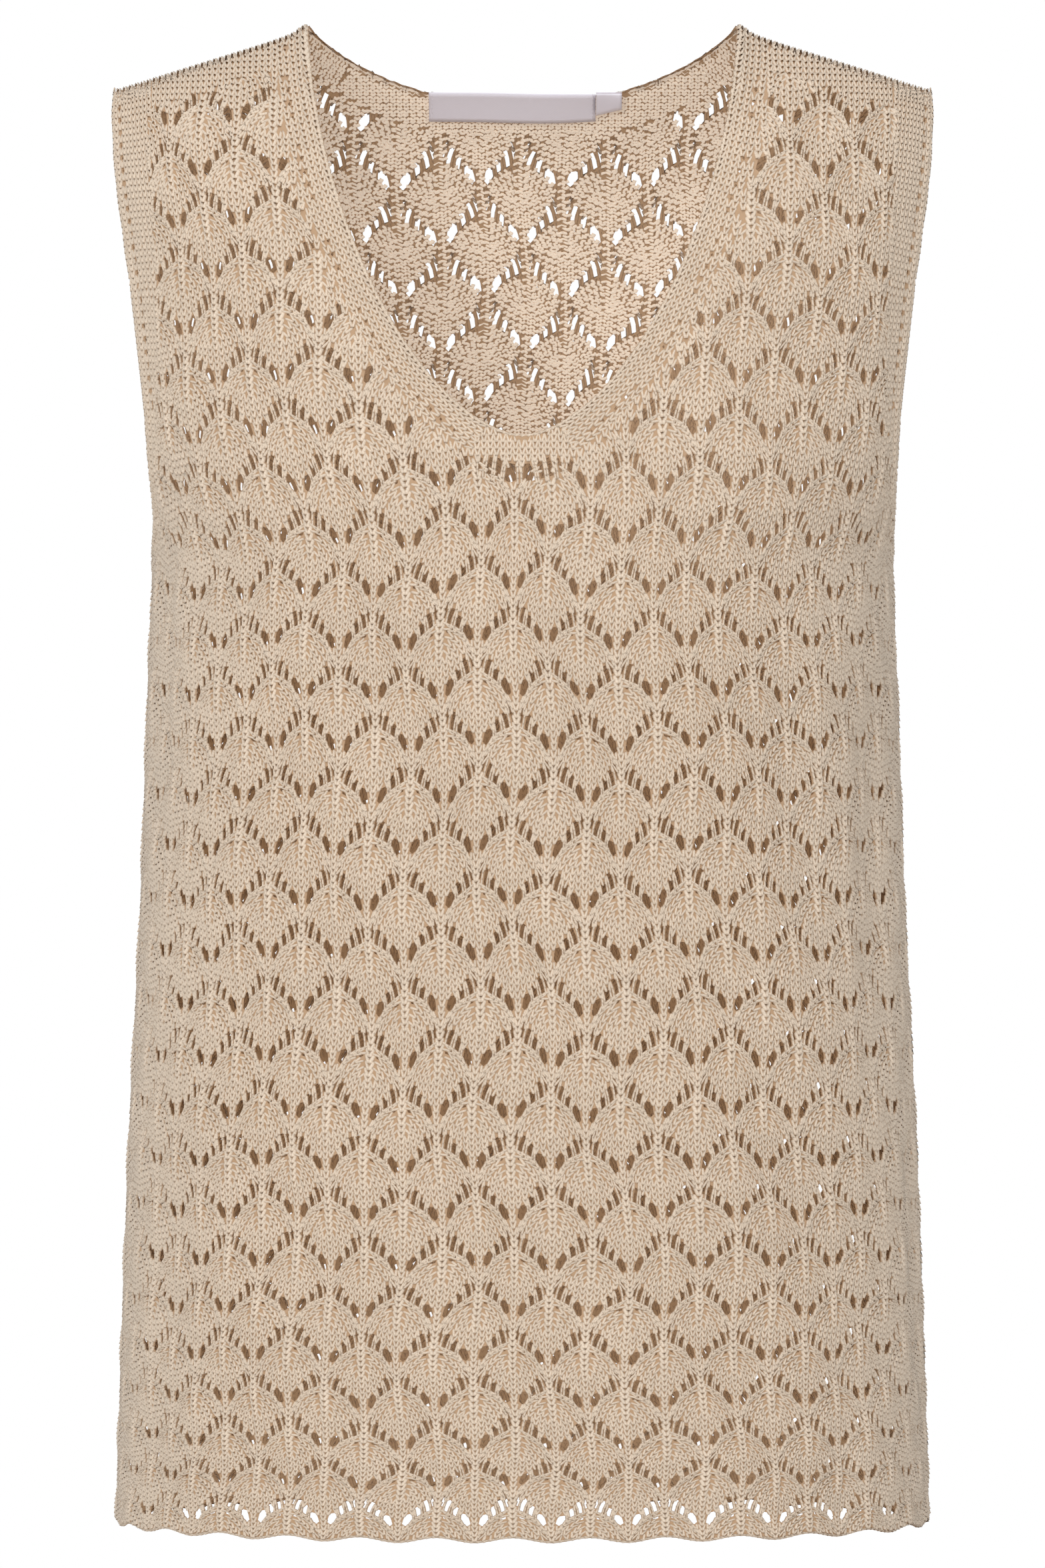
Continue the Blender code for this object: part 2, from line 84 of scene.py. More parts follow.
def add_node(tree: bpy.types.NodeTree, kind: str, settings: dict | None = None,
             links: dict | None = None) -> bpy.types.Node:
    """Add a shader node, set it and link it.

    Args:
        tree: Node tree that takes the node.
        kind: Blender's node type.
        settings: Attribute names, or input names and numbers, with their values.
        links: Input names or numbers, with the output sockets that feed them.

    Returns:
        The new node.
    """
    node = tree.nodes.new(kind)
    for key, value in (settings or {}).items():
        if isinstance(key, str) and hasattr(node, key):
            setattr(node, key, value)
        else:
            node.inputs[key].default_value = value
    for key, socket in (links or {}).items():
        tree.links.new(socket, node.inputs[key])
    return node


def shaded(name: str, settings: dict) -> tuple[
        bpy.types.Material, bpy.types.NodeTree, bpy.types.Node]:
    """Make a material, with the inputs of its Principled shader set."""
    material = bpy.data.materials.new(name)
    material.use_nodes = True
    tree = material.node_tree
    shader = tree.nodes["Principled BSDF"]
    for key, value in settings.items():
        shader.inputs[key].default_value = value
    return material, tree, shader


def as_mesh(name: str, mesh: bmesh.types.BMesh) -> bpy.types.Mesh:
    """Turn an edited mesh into mesh data, and free it."""
    data = bpy.data.meshes.new(name)
    mesh.to_mesh(data)
    mesh.free()
    return data


class Side(Enum):
    """The two panels, with the way that each one faces along Y."""

    FRONT = -1.0
    BACK = 1.0

    @property
    def label(self) -> str:
        """Lower-case name used for pieces and nodes."""
        return self.name.lower()


@dataclass(frozen=True)
class Fold:
    """A soft upright trough pushed into the wall, or a ridge where its depth is negative.

    Sizes are in millimetres on the flat panel.
    """

    side: Side
    along: float
    top: float
    foot: float
    half_width: float
    depth: float
    lean: float = 0.0

    def push(self, along: Points, height: Points) -> Points:
        """Distance that the fold pushes the wall in.

        Args:
            along: Distances round the panel, in metres.
            height: Heights, in metres.

        Returns:
            Depths in metres.
        """
        middle = (self.top + self.foot) / 2 * MM
        reach = (self.top - self.foot) / 2 * MM
        upward = (height - middle) / reach
        sideways = (along - self.along * MM - self.lean * MM * upward) / (self.half_width * MM)
        inside = (np.abs(sideways) < 1) & (np.abs(upward) < 1)
        profile = (1 + np.cos(pi * sideways)) / 2 * (1 + np.cos(pi * upward)) / 2
        return np.where(inside, self.depth * MM * profile, 0.0)


@dataclass(frozen=True)
class Shell:
    """The hollow form that the two panels follow, from its sections down the garment."""

    side: Side
    sections: tuple[tuple[float, ...], ...] = (
        # height, silhouette, share kept beside the armhole, front depth, back depth
        (20.0, 166.0, 0.950, 66.0, 66.0),
        (-16.0, 165.5, 0.950, 74.0, 76.0),
        (-47.0, 163.0, 0.940, 83.0, 84.0),
        (-95.0, 155.8, 0.925, 95.0, 93.0),
        (-140.0, 150.4, 0.925, 106.0, 98.0),
        (-165.0, 148.9, 0.941, 111.0, 100.0),
        (-182.0, 148.2, 0.967, 114.0, 101.0),
        (-190.0, 147.9, 0.985, 115.0, 101.3),
        (-198.0, 147.7, 1.000, 116.0, 101.5),
        (-215.0, 147.7, 1.000, 117.5, 101.5),
        (-240.0, 149.0, 1.000, 118.0, 101.0),
        (-335.0, 152.2, 1.000, 117.0, 99.0),
        (-430.0, 157.0, 1.000, 115.0, 100.0),
        (-495.0, 159.4, 1.000, 114.5, 103.0),
        (-590.0, 162.4, 1.000, 115.0, 106.0),
    )
    folds: tuple[Fold, ...] = (
        Fold(Side.FRONT, 158, -200, -455, 21, 3.2, 4),
        Fold(Side.FRONT, 186, -330, -600, 17, 2.4, -3),
        Fold(Side.FRONT, -172, -130, -330, 20, 2.6, -4),
        Fold(Side.FRONT, -150, -420, -620, 22, 2.2, 5),
        Fold(Side.FRONT, 60, -500, -640, 24, 1.8),
        Fold(Side.FRONT, -52, -505, -640, 22, -1.6),
        Fold(Side.FRONT, 112, -180, -400, 16, 1.1, -5),
        Fold(Side.FRONT, -110, -240, -470, 18, 1.0, 5),
        Fold(Side.FRONT, 128, -470, -640, 14, 1.3, 3),
        Fold(Side.BACK, 150, -180, -420, 22, 2.8, 4),
        Fold(Side.BACK, -165, -250, -520, 20, 3.0, -4),
        Fold(Side.BACK, 40, -480, -640, 26, 2.0),
        Fold(Side.BACK, -70, -150, -330, 28, 1.8, 6),
        Fold(Side.BACK, 108, -380, -600, 18, 1.3, -4),
        Fold(Side.BACK, -112, -440, -640, 17, 1.4, 3),
        Fold(Side.BACK, 12, -190, -360, 24, 1.0, 5),
    )
    half_girth: float = 213.75 * MM
    section_power: float = 2.3
    smoothing: float = 8.0 * MM
    girth_height: float = -335.0 * MM
    wall: float = 2.45 * MM
    hem: float = -611.0 * MM
    underarm: float = -198.0 * MM
    neck_point_height: float = 13.0 * MM
    neck_half_width: float = 85.0 * MM
    shoulder_slope: float = 0.31
    shoulder_dip: float = 2.4 * MM
    shoulder_dip_reach: float = 5.0 * MM
    shoulder_rounding: float = 80.0 * MM
    seam_gap: float = 0.15 * MM
    step: float = 0.4 * MM
    # Towards the hem the rows sit closer together: height as knitted, height as worn
    rows_settle: tuple[tuple[float, float], ...] = (
        (-640.0, -602.0), (-599.5, -573.7), (-558.5, -543.9), (-517.5, -510.1),
        (-476.5, -473.8), (-425.0, -425.0), (100.0, 100.0),
    )

    def settled(self, height: Points) -> Points:
        """Heights as worn of heights as knitted."""
        knitted, worn = zip(*self.rows_settle)
        return np.interp(height / MM, knitted, worn) * MM

    def column(self, index: int, height: Points, soft: bool = True) -> Points:
        """Read one column of the sections.

        Args:
            index: Column of the sections.
            height: Heights in metres.
            soft: True to soften the change between rows.

        Returns:
            The column's values, in its own unit.
        """
        rows = self.sections[::-1]
        heights = [row[0] * MM for row in rows]
        values = [row[index] for row in rows]
        if not soft:
            return np.interp(height, heights, values)
        low = np.interp(height - self.smoothing, heights, values)
        high = np.interp(height + self.smoothing, heights, values)
        return (low + 2 * np.interp(height, heights, values) + high) / 4

    @cached_property
    def shares(self) -> tuple[Points, Points]:
        """Shares of the half girth, each with its share of the half width."""
        turn = np.linspace(0.0, pi / 2, 721)
        level = np.array([self.girth_height])
        width = self.half_width(level)[0]
        depth = (self.column(3, level)[0] + self.column(4, level)[0]) / 2 * MM
        across = width * np.sin(turn) ** (2 / self.section_power)
        out = depth * np.cos(turn) ** (2 / self.section_power)
        lengths = np.concatenate(([0.0], np.cumsum(np.hypot(np.diff(across), np.diff(out)))))
        return lengths / lengths[-1], across / width

    def half_width(self, height: Points) -> Points:
        """Half width of the whole shell, as if its armholes were closed."""
        return (self.column(1, height) * MM - self.wall) / self.column(2, height, soft=False)

    def across(self, along: Points, height: Points) -> Points:
        """Distance from the middle plane for distances round the panel."""
        girth, width = self.shares
        share = np.interp(np.minimum(np.abs(along) / self.half_girth, 1.0), girth, width)
        return self.half_width(height) * share * np.where(along >= 0, 1.0, -1.0)

    def along_at(self, across: Points, height: Points) -> Points:
        """Distance round the panel for distances from the middle plane."""
        girth, width = self.shares
        share = np.minimum(np.abs(across) / self.half_width(height), 1.0)
        return np.interp(share, width, girth) * self.half_girth * np.where(across >= 0, 1.0, -1.0)

    def shoulder_height(self, across: Points) -> Points:
        """Height of the shoulder seam above a point, level across the neck."""
        past = np.maximum(np.abs(across) - self.neck_half_width, 0.0)
        dip = self.shoulder_dip * (1 - np.exp(-past / self.shoulder_dip_reach))
        return self.neck_point_height - self.shoulder_slope * past - dip

    def smooth_point(self, along: Points, height: Points) -> Points:
        """Points of the inside of the wall, without its folds."""
        height = self.settled(height)
        across = self.across(along, height)
        reach = np.minimum(np.abs(across) / self.half_width(height), 1.0)
        drop = np.maximum(self.shoulder_height(across) - height, 0.0)
        turn = np.minimum(drop / self.shoulder_rounding, 1.0)
        rounding = np.sqrt(np.maximum(1.0 - (1.0 - turn) ** 2, 0.0))
        side = (1.0 - reach ** self.section_power) ** (1 / self.section_power)
        depth = self.column(3 if self.side is Side.FRONT else 4, height) * MM
        return np.stack((across, self.side.value * depth * rounding * side, height), axis=-1)

    def normal(self, along: Points, height: Points) -> Points:
        """Outward directions of the smooth shell, from small steps that stay on it."""
        reach = self.half_girth - self.step
        middle = np.clip(along, -reach, reach)
        top = np.minimum(height + self.step, self.shoulder_height(self.across(along, height)))
        sideways = self.smooth_point(middle + self.step, height)
        sideways = sideways - self.smooth_point(middle - self.step, height)
        upward = self.smooth_point(along, top) - self.smooth_point(along, height - self.step)
        normal = np.cross(sideways, upward) * -self.side.value
        return normal / np.maximum(np.linalg.norm(normal, axis=-1, keepdims=True), 1e-12)

    def place(self, along: Points, height: Points, lift: Points) -> Points:
        """Lay points of the flat panel round the shell.

        Args:
            along: Distances round the panel.
            height: Heights.
            lift: Distances out from the inside of the wall.

        Returns:
            The points in metres.
        """
        normal = self.normal(along, height)
        push = sum(
            (fold.push(along, self.settled(height)) for fold in self.folds
             if fold.side is self.side),
            start=np.zeros_like(along),
        )
        point = self.smooth_point(along, height) + normal * (lift - push)[..., None]
        seam = self.seam_gap * self.side.value
        point[..., 1] = (np.minimum if self.side is Side.FRONT else np.maximum)(point[..., 1], seam)
        return point


def unit(ways: Points) -> Points:
    """Flat directions at a length of one."""
    return ways / np.maximum(np.linalg.norm(ways, axis=1, keepdims=True), 1e-9)


def to_the_left(ways: Points) -> Points:
    """Flat directions turned a quarter to the left."""
    return np.stack((-ways[:, 1], ways[:, 0]), axis=1)


def resample(path: Points, pitch: float) -> Points:
    """Space points evenly along a path.

    Args:
        path: Points of the path, one a row.
        pitch: Wanted spacing.

    Returns:
        Points from the path's first point to its last.
    """
    lengths = np.concatenate(([0.0], np.cumsum(np.linalg.norm(np.diff(path, axis=0), axis=1))))
    count = max(int(round(lengths[-1] / pitch)), 1)
    wanted = np.linspace(0.0, lengths[-1], count + 1)
    return np.stack([np.interp(wanted, lengths, path[:, i]) for i in (0, 1)], axis=1)


@dataclass(frozen=True)
class Edge:
    """One edge of a flat panel, from its lower end to its upper end."""

    path: Points

    def measure(self, points: Points) -> tuple[Points, Points]:
        """Distance of points from the edge, and the edge's steepness beside them.

        Args:
            points: Flat points, one a row.

        Returns:
            Distances, and the size of the edge's upward share, from 0 to 1.
        """
        best = np.full(len(points), 1e9)
        steep = np.zeros(len(points))
        for start, end in zip(self.path[:-1], self.path[1:]):
            way = end - start
            length = max(float(np.hypot(*way)), 1e-9)
            share = np.clip(((points - start) @ way) / length ** 2, 0.0, 1.0)
            gap = np.hypot(*(points - start - share[:, None] * way).T)
            nearer = gap < best
            best[nearer] = gap[nearer]
            steep[nearer] = abs(way[1]) / length
        return best, steep


def within_loop(points: Points, loop: Points) -> Points:
    """Tell which flat points lie inside a closed loop, by crossings of a level ray."""
    x, y = points.T
    result = np.zeros(len(points), dtype=bool)
    for start, end in zip(loop, np.roll(loop, -1, axis=0)):
        rise = end[1] - start[1]
        if rise:
            crosses = (start[1] > y) != (end[1] > y)
            result ^= crosses & (x < start[0] + (y - start[1]) * (end[0] - start[0]) / rise)
    return result


@dataclass(frozen=True)
class ScaleLace:
    """The lace: columns of scales with a second set half a repeat away.

    Places are in millimetres from the middle of a hole pair, at the foot of a scale:
    out from the column, and up. Each shape is knitted again on the column's other side.
    """

    repeat_width: float = 28.5
    repeat_height: float = 41.0
    shift: float = -3.5
    first_pair: float = -579.0
    pitch: float = 2.5
    drawn_width: float = 28.5
    drawn_height: float = 41.0
    gaps: tuple[tuple[tuple[float, float], ...], ...] = (
        ((1.6, -2.3), (2.8, -3.6), (4.2, -2.0), (5.3, -0.4), (5.1, 3.3), (2.7, 2.5), (2.0, 0.0)),
        ((6.9, 0.7), (8.1, 1.4), (8.3, 4.3), (7.5, 7.2), (6.0, 6.0), (6.6, 3.4)),
        ((10.3, 3.4), (11.5, 4.5), (11.0, 7.4), (9.9, 10.5), (8.6, 9.6), (9.7, 6.4)),
        ((12.4, 6.6), (13.2, 7.3), (12.4, 10.6), (11.0, 14.0), (10.3, 13.7), (11.5, 9.9)),
        ((2.4, -18.9), (2.6, -19.9), (4.5, -20.6), (4.7, -19.9)),
        ((2.5, -10.0), (3.1, -8.9), (4.4, -7.0), (3.8, -7.1), (2.6, -8.9)),
    )
    # Wales of a scale from its foot up to the rib, below a hole pair
    wales: tuple[tuple[tuple[float, float], ...], ...] = (
        ((2.4, -39.4), (2.5, -33.0), (2.35, -30.4), (1.7, -27.6)),
        ((4.9, -38.4), (4.9, -33.0), (4.3, -29.4), (1.8, -25.0)),
        ((7.2, -35.2), (7.0, -31.2), (6.0, -27.8), (3.7, -24.5), (1.9, -22.5)),
        ((9.5, -31.4), (9.1, -28.2), (7.5, -24.8), (4.4, -21.7), (2.0, -20.1)),
        ((11.4, -28.2), (10.6, -25.4), (8.9, -22.2), (5.3, -19.2), (2.0, -17.5)),
    )
    # Strands that stand alone: points from the foot up, and the strand's width
    strands: tuple[tuple[float, tuple[tuple[float, float], ...]], ...] = (
        (1.00, ((5.8, -1.2), (5.7, 1.6), (5.2, 4.4))),
        (1.00, ((6.7, -0.2), (6.4, 2.4), (5.9, 5.0))),
        (0.95, ((8.9, 1.0), (8.7, 4.4), (7.9, 7.8))),
        (0.95, ((10.0, 2.6), (9.45, 5.4), (8.7, 8.8))),
        (0.95, ((12.0, 4.6), (11.5, 7.8), (10.6, 11.6))),
        (1.25, ((1.4, -9.6), (2.5, -6.4), (3.9, -3.2))),
        (1.20, ((1.6, -8.0), (2.1, -5.4), (2.6, -2.8))),
        (1.10, ((2.3, -10.4), (3.4, -7.4), (4.9, -4.2))),
        (1.20, ((11.4, -27.4), (10.2, -23.8), (8.3, -20.4), (4.8, -17.6), (1.5, -15.6))),
    )
    # Tall gaps and their bars at the foot of the V neck: out from this column, and height
    foot_column: float = -1.15
    foot_gaps: tuple[tuple[tuple[float, float], ...], ...] = (
        ((1.3, -171.6), (3.6, -172.5), (5.9, -171.4), (5.0, -167.0), (3.9, -164.6), (1.7, -164.9)),
        ((8.0, -170.8), (9.5, -170.2), (9.2, -166.0), (8.2, -162.3), (6.4, -162.9), (7.0, -166.8)),
        ((11.3, -169.6), (12.7, -168.9), (12.2, -165.0), (11.2, -161.9), (9.8, -162.3),
         (10.6, -166.0)),
        ((15.0, -167.4), (15.7, -167.0), (15.6, -164.0), (14.6, -161.9), (13.9, -162.3),
         (14.5, -164.8)),
    )
    foot_bars: tuple[tuple[tuple[float, float], ...], ...] = (
        ((0.7, -173.0), (0.7, -167.0), (0.75, -161.0)),
        ((6.5, -172.6), (5.7, -167.0), (4.7, -162.6)),
        ((7.4, -172.4), (6.6, -167.2), (5.5, -162.4)),
        ((10.0, -171.4), (9.4, -166.4), (8.6, -161.4)),
        ((10.9, -171.0), (10.2, -166.2), (9.4, -161.2)),
        ((13.4, -170.0), (12.8, -165.6), (11.9, -161.0)),
        ((14.3, -169.4), (13.8, -165.4), (13.0, -161.2)),
        ((16.3, -168.8), (16.2, -165.0), (15.6, -161.0)),
    )
    # Half width of the column's own stitches, down the repeat from a hole pair
    column_half_widths: tuple[float, ...] = (
        1.35, 1.30, 1.35, 1.45, 1.60, 1.70, 1.80, 1.85,
        1.85, 1.80, 1.75, 1.65, 1.50, 1.35, 1.25, 1.30,
    )

    @classmethod
    def of(cls, side: Side) -> ScaleLace:
        """The lace of a panel: fifteen repeats across the front, fourteen across the back."""
        if side is Side.FRONT:
            return cls()
        return cls(repeat_width=30.5, repeat_height=43.36, shift=0.0, first_pair=-584.6)

    @property
    def stretch(self) -> Points:
        """How much wider and higher this lace is than the repeat that was drawn."""
        return np.array([self.repeat_width / self.drawn_width,
                         self.repeat_height / self.drawn_height])

    def origins(self) -> Points:
        """Middles of all hole pairs of a panel, with some rows and columns to spare."""
        found = []
        half = self.repeat_width / 2
        for column in range(-17, 18):
            drop = self.repeat_height / 2 if column % 2 else 0.0
            for row in range(-1, 17):
                up = self.first_pair + row * self.repeat_height + drop
                found.append((self.shift + column * half, up))
        return np.array(found) * MM

    def columns(self, along: Points) -> tuple[Points, Points, Points]:
        """Nearest column of each place.

        Args:
            along: Distances round the panel, in metres.

        Returns:
            Place counted in half repeats, distance off the column and how far its pairs
            stand above the first pair's row, both in metres.
        """
        half = self.repeat_width / 2 * MM
        place = (along - self.shift * MM) / half
        nearest = np.round(place)
        drop = (nearest.astype(int) % 2) * self.repeat_height / 2 * MM
        return place, (place - nearest) * half, drop

    def in_foot(self, points: Points) -> Points:
        """Tell which flat points lie among the tall gaps at the foot of the V neck."""
        out = np.abs(points[:, 0] / MM - self.foot_column)
        height = points[:, 1] / MM
        return (self.shift < 0) & (out < 16.8) & (height > -174.0) & (height < -155.0)

    def in_foot_gaps(self, points: Points) -> Points:
        """Tell which flat points lie in a tall gap at the foot of the V neck, or at its rim."""
        found = np.zeros(len(points), dtype=bool)
        near = self.in_foot(points)
        place = np.stack((np.abs(points[near, 0] / MM - self.foot_column),
                          points[near, 1] / MM), axis=1)
        if near.any():
            found[near] = np.any([
                within_loop(place, np.array(gap))
                | (Edge(np.array(gap + gap[:1])).measure(place)[0] < 0.35)
                for gap in self.foot_gaps], axis=0)
        return found

    def foot_legs(self) -> Points:
        """Bars between the tall gaps, as ends and width in metres on the flat panel."""
        rows = []
        for bar in self.foot_bars:
            path = resample(np.array(bar), 2.4)
            for start, end in zip(path[:-1], path[1:]):
                spare = (end - start) * 0.2
                for way in (1.0, -1.0):
                    low, high = start - spare, end + spare
                    rows.append((self.foot_column + way * low[0], low[1],
                                 self.foot_column + way * high[0], high[1], 1.02))
        return np.array(rows) * MM

    def wale_stitches(self) -> Points:
        """Stitches of one repeat: out, up, lean out, lean up, half width."""
        rows = []
        for index, half_width in enumerate(self.column_half_widths):
            up = -index * self.repeat_height / len(self.column_half_widths)
            rows.append((0.0, up, 0.0, 1.0, half_width))
        for wale in self.wales:
            path = resample(np.array(wale) * self.stretch, 0.4)
            for _ in range(4):
                path[1:-1] = (path[:-2] + 2 * path[1:-1] + path[2:]) / 4
            path = resample(path, self.pitch / 2)
            for before, middle, after in zip(path[:-2:2], path[1:-1:2], path[2::2]):
                lean = (after - before) / np.hypot(*(after - before))
                for way in (1.0, -1.0):
                    half_width = 1.2 * self.stretch[0]
                    rows.append((way * middle[0], middle[1], way * lean[0], lean[1], half_width))
        return np.array(rows)

    def strand_legs(self) -> Points:
        """Single strands of one repeat: out and up of both ends, and width."""
        rows = []
        for width, strand in self.strands:
            path = resample(np.array(strand) * self.stretch, 2.3)
            for start, end in zip(path[:-1], path[1:]):
                stretch = (end - start) * 0.22
                for way in (1.0, -1.0):
                    first, last = start - stretch, end + stretch
                    rows.append((way * first[0], first[1], way * last[0], last[1], width))
        return np.array(rows)


@dataclass(frozen=True)
class GapField:
    """How far each place of the lace lies from its gaps, read from one repeat."""

    lace: ScaleLace
    pitch: float = 0.3

    @cached_property
    def raster(self) -> tuple[Points, Points]:
        """Distance from the nearest gap over one repeat, negative inside, and the spacing."""
        size = np.array([self.lace.repeat_width, self.lace.repeat_height])
        counts = np.round(size / self.pitch).astype(int)
        axes = [np.linspace(0.0, reach, count + 1) for reach, count in zip(size, counts)]
        points = np.stack([part.ravel() for part in np.meshgrid(*axes)], axis=1)
        best = np.full(len(points), 99.0)
        for gap in self.lace.gaps:
            for way in (1.0, -1.0):
                shape = np.array(gap) * self.lace.stretch * np.array([way, 1.0])
                for column, row in ((i, j) for i in range(-2, 5) for j in range(-2, 5)):
                    if (column - row) % 2:
                        continue
                    loop = shape + size / 2 * np.array([column, row])
                    low, high = loop.min(axis=0) - 3.0, loop.max(axis=0) + 3.0
                    near = ((points > low) & (points < high)).all(axis=1)
                    if not near.any():
                        continue
                    gaps = Edge(np.concatenate((loop, loop[:1]))).measure(points[near])[0]
                    gaps[within_loop(points[near], loop)] *= -1
                    best[near] = np.minimum(best[near], gaps)
        return np.minimum(best, 3.0).reshape(counts[1] + 1, counts[0] + 1), size / counts

    def push(self, points: Points, reach: float) -> Points:
        """Move flat points of the lace so that they clear its gaps.

        Args:
            points: Flat points in metres, one a row.
            reach: Wanted distance from a gap, in millimetres.

        Returns:
            The moved points.
        """
        grid, spacing = self.raster
        size = np.array([self.lace.repeat_width, self.lace.repeat_height])
        origin = np.array([self.lace.shift, self.lace.first_pair])
        place = ((points / MM - origin) % size) / spacing
        i = np.clip(place[:, 0].astype(int), 0, grid.shape[1] - 2)
        j = np.clip(place[:, 1].astype(int), 0, grid.shape[0] - 2)
        u, v = place[:, 0] - i, place[:, 1] - j
        low, high = grid[j, i] * (1 - u) + grid[j, i + 1] * u, \
            grid[j + 1, i] * (1 - u) + grid[j + 1, i + 1] * u
        found = low * (1 - v) + high * v
        slope = np.stack((
            (grid[j, i + 1] - grid[j, i]) * (1 - v) + (grid[j + 1, i + 1] - grid[j + 1, i]) * v,
            high - low), axis=1) / spacing
        slope /= np.maximum(np.linalg.norm(slope, axis=1, keepdims=True), 0.3)
        return points + slope * np.maximum(reach - found, 0.0)[:, None] * MM


@dataclass(frozen=True)
class FlatPanel:
    """Cut of one panel, laid flat: hem, side seams, armholes, shoulders and neckline."""

    shell: Shell
    lace: ScaleLace
    scallop: float = 1.4 * MM
    point_pitch: float = 2.6 * MM
    raster_pitch: float = 2.0 * MM

    @property
    def neckline(self) -> tuple[float, float, float, float]:
        """Depth below the neck points, powers of the width and the depth, lowest height."""
        if self.shell.side is Side.FRONT:
            return 166 * MM, 1.75, 1.65, -160 * MM
        return 26.7 * MM, 2.2, 1.15, -10.6 * MM

    def mirrored(self, path: Points) -> Points:
        """The same path on the other half, still in order."""
        return path * np.array([-1.0, 1.0])

    @cached_property
    def neck(self) -> Edge:
        """The neckline, all of it, from one neck point to the other."""
        depth, width_power, depth_power, lowest = self.neckline
        turn = np.linspace(0.0, pi / 2, 160)
        across = self.shell.neck_half_width * np.sin(turn) ** (2 / width_power)
        height = self.shell.neck_point_height - depth * np.cos(turn) ** (2 / depth_power)
        height = np.maximum(height, lowest)
        half = np.stack((self.shell.along_at(across, height), height), axis=1)
        whole = np.concatenate((self.mirrored(half)[::-1], half[1:]))
        return Edge(resample(whole, self.point_pitch))

    @cached_property
    def armhole(self) -> Edge:
        """The armhole on the side where along is positive, from the underarm up."""
        girth, width = self.shell.shares
        height = np.linspace(self.shell.underarm, -11.2 * MM, 140)
        kept = self.shell.column(2, height, soft=False)
        along = np.interp(kept, width, girth) * self.shell.half_girth
        return Edge(resample(np.stack((along, height), axis=1), self.point_pitch))

    @cached_property
    def shoulder(self) -> Edge:
        """The shoulder seam where along is positive, from the tip to the neck point."""
        tip = self.armhole.path[-1]
        tip_across = float(self.shell.across(tip[:1], tip[1:])[0])
        across = np.linspace(tip_across, self.shell.neck_half_width, 40)
        height = self.shell.shoulder_height(across)
        along = self.shell.along_at(across, height)
        path = np.stack((along, height), axis=1)
        path[0] = tip
        path[-1] = self.neck.path[-1]
        return Edge(resample(path, self.point_pitch))

    def hem_height(self, along: Points) -> Points:
        """Height of the scalloped hem, lowest under the columns between the last feet."""
        columns = (along / MM - self.lace.shift) / self.lace.repeat_width
        return self.shell.hem + self.scallop * np.cos(2 * pi * columns)

    @cached_property
    def hem(self) -> Edge:
        """The scalloped hem, from one side seam to the other."""
        reach = self.shell.half_girth
        along = np.linspace(-reach, reach, 1 + 8 * 30)
        return Edge(np.stack((along, self.hem_height(along)), axis=1))

    @cached_property
    def seam(self) -> Edge:
        """The side seam where along is positive, from the hem to the underarm."""
        foot = self.hem.path[-1]
        top = self.armhole.path[0]
        return Edge(resample(np.stack((foot, top)), self.point_pitch))

    @cached_property
    def outline(self) -> Points:
        """The whole cut as one closed loop, counter-clockwise, without a repeated point."""
        right = [self.seam.path[:-1], self.armhole.path[:-1], self.shoulder.path[:-1]]
        left = [self.mirrored(part) for part in (
            self.shoulder.path[::-1], self.armhole.path[::-1], self.seam.path[::-1])]
        return np.concatenate(
            [self.hem.path[:-1], *right, self.neck.path[::-1][:-1]]
            + [part[:-1] for part in left]
        )

    @cached_property
    def worn_outline(self) -> Points:
        """The whole cut with its rows as close together as worn."""
        x, y = self.outline.T
        return np.stack((x, self.shell.settled(y)), axis=1)

    @cached_property
    def area(self) -> float:
        """Area of the cut, in square metres."""
        x, y = self.worn_outline.T
        return float(abs(np.dot(x, np.roll(y, -1)) - np.dot(y, np.roll(x, -1))) / 2)

    def inside(self, points: Points) -> Points:
        """Tell which flat points lie inside the cut."""
        return within_loop(points, self.outline)

    @cached_property
    def raster(self) -> dict[str, Points]:
        """Distances from the edges on a regular grid of half the panel, to read between."""
        along = np.arange(0.0, self.shell.half_girth + 3 * self.raster_pitch, self.raster_pitch)
        top = self.shell.neck_point_height + 3 * self.raster_pitch
        height = np.arange(self.shell.hem - 3 * self.raster_pitch, top, self.raster_pitch)
        points = np.stack([part.ravel() for part in np.meshgrid(along, height)], axis=1)
        neck, steep = self.neck.measure(points)
        found = {"neck": neck, "neck_steep": steep, "armhole": self.armhole.measure(points)[0],
                 "shoulder": self.shoulder.measure(points)[0]}
        return {name: values.reshape(len(height), len(along)) for name, values in found.items()}

    def distances(self, points: Points) -> dict[str, Points]:
        """Distance of flat points from each kind of edge.

        Args:
            points: Flat points, one a row.

        Returns:
            Distances by edge name, and the neckline's steepness under "neck_steep".
        """
        rows, columns = self.raster["neck"].shape
        along = np.clip(np.abs(points[:, 0]) / self.raster_pitch, 0, columns - 1.001)
        low = self.shell.hem - 3 * self.raster_pitch
        height = np.clip((points[:, 1] - low) / self.raster_pitch, 0, rows - 1.001)
        i, j = along.astype(int), height.astype(int)
        u, v = along - i, height - j
        found = {
            name: (grid[j, i] * (1 - u) + grid[j, i + 1] * u) * (1 - v)
            + (grid[j + 1, i] * (1 - u) + grid[j + 1, i + 1] * u) * v
            for name, grid in self.raster.items()
        }
        found["hem"] = points[:, 1] - self.hem_height(points[:, 0])
        return found


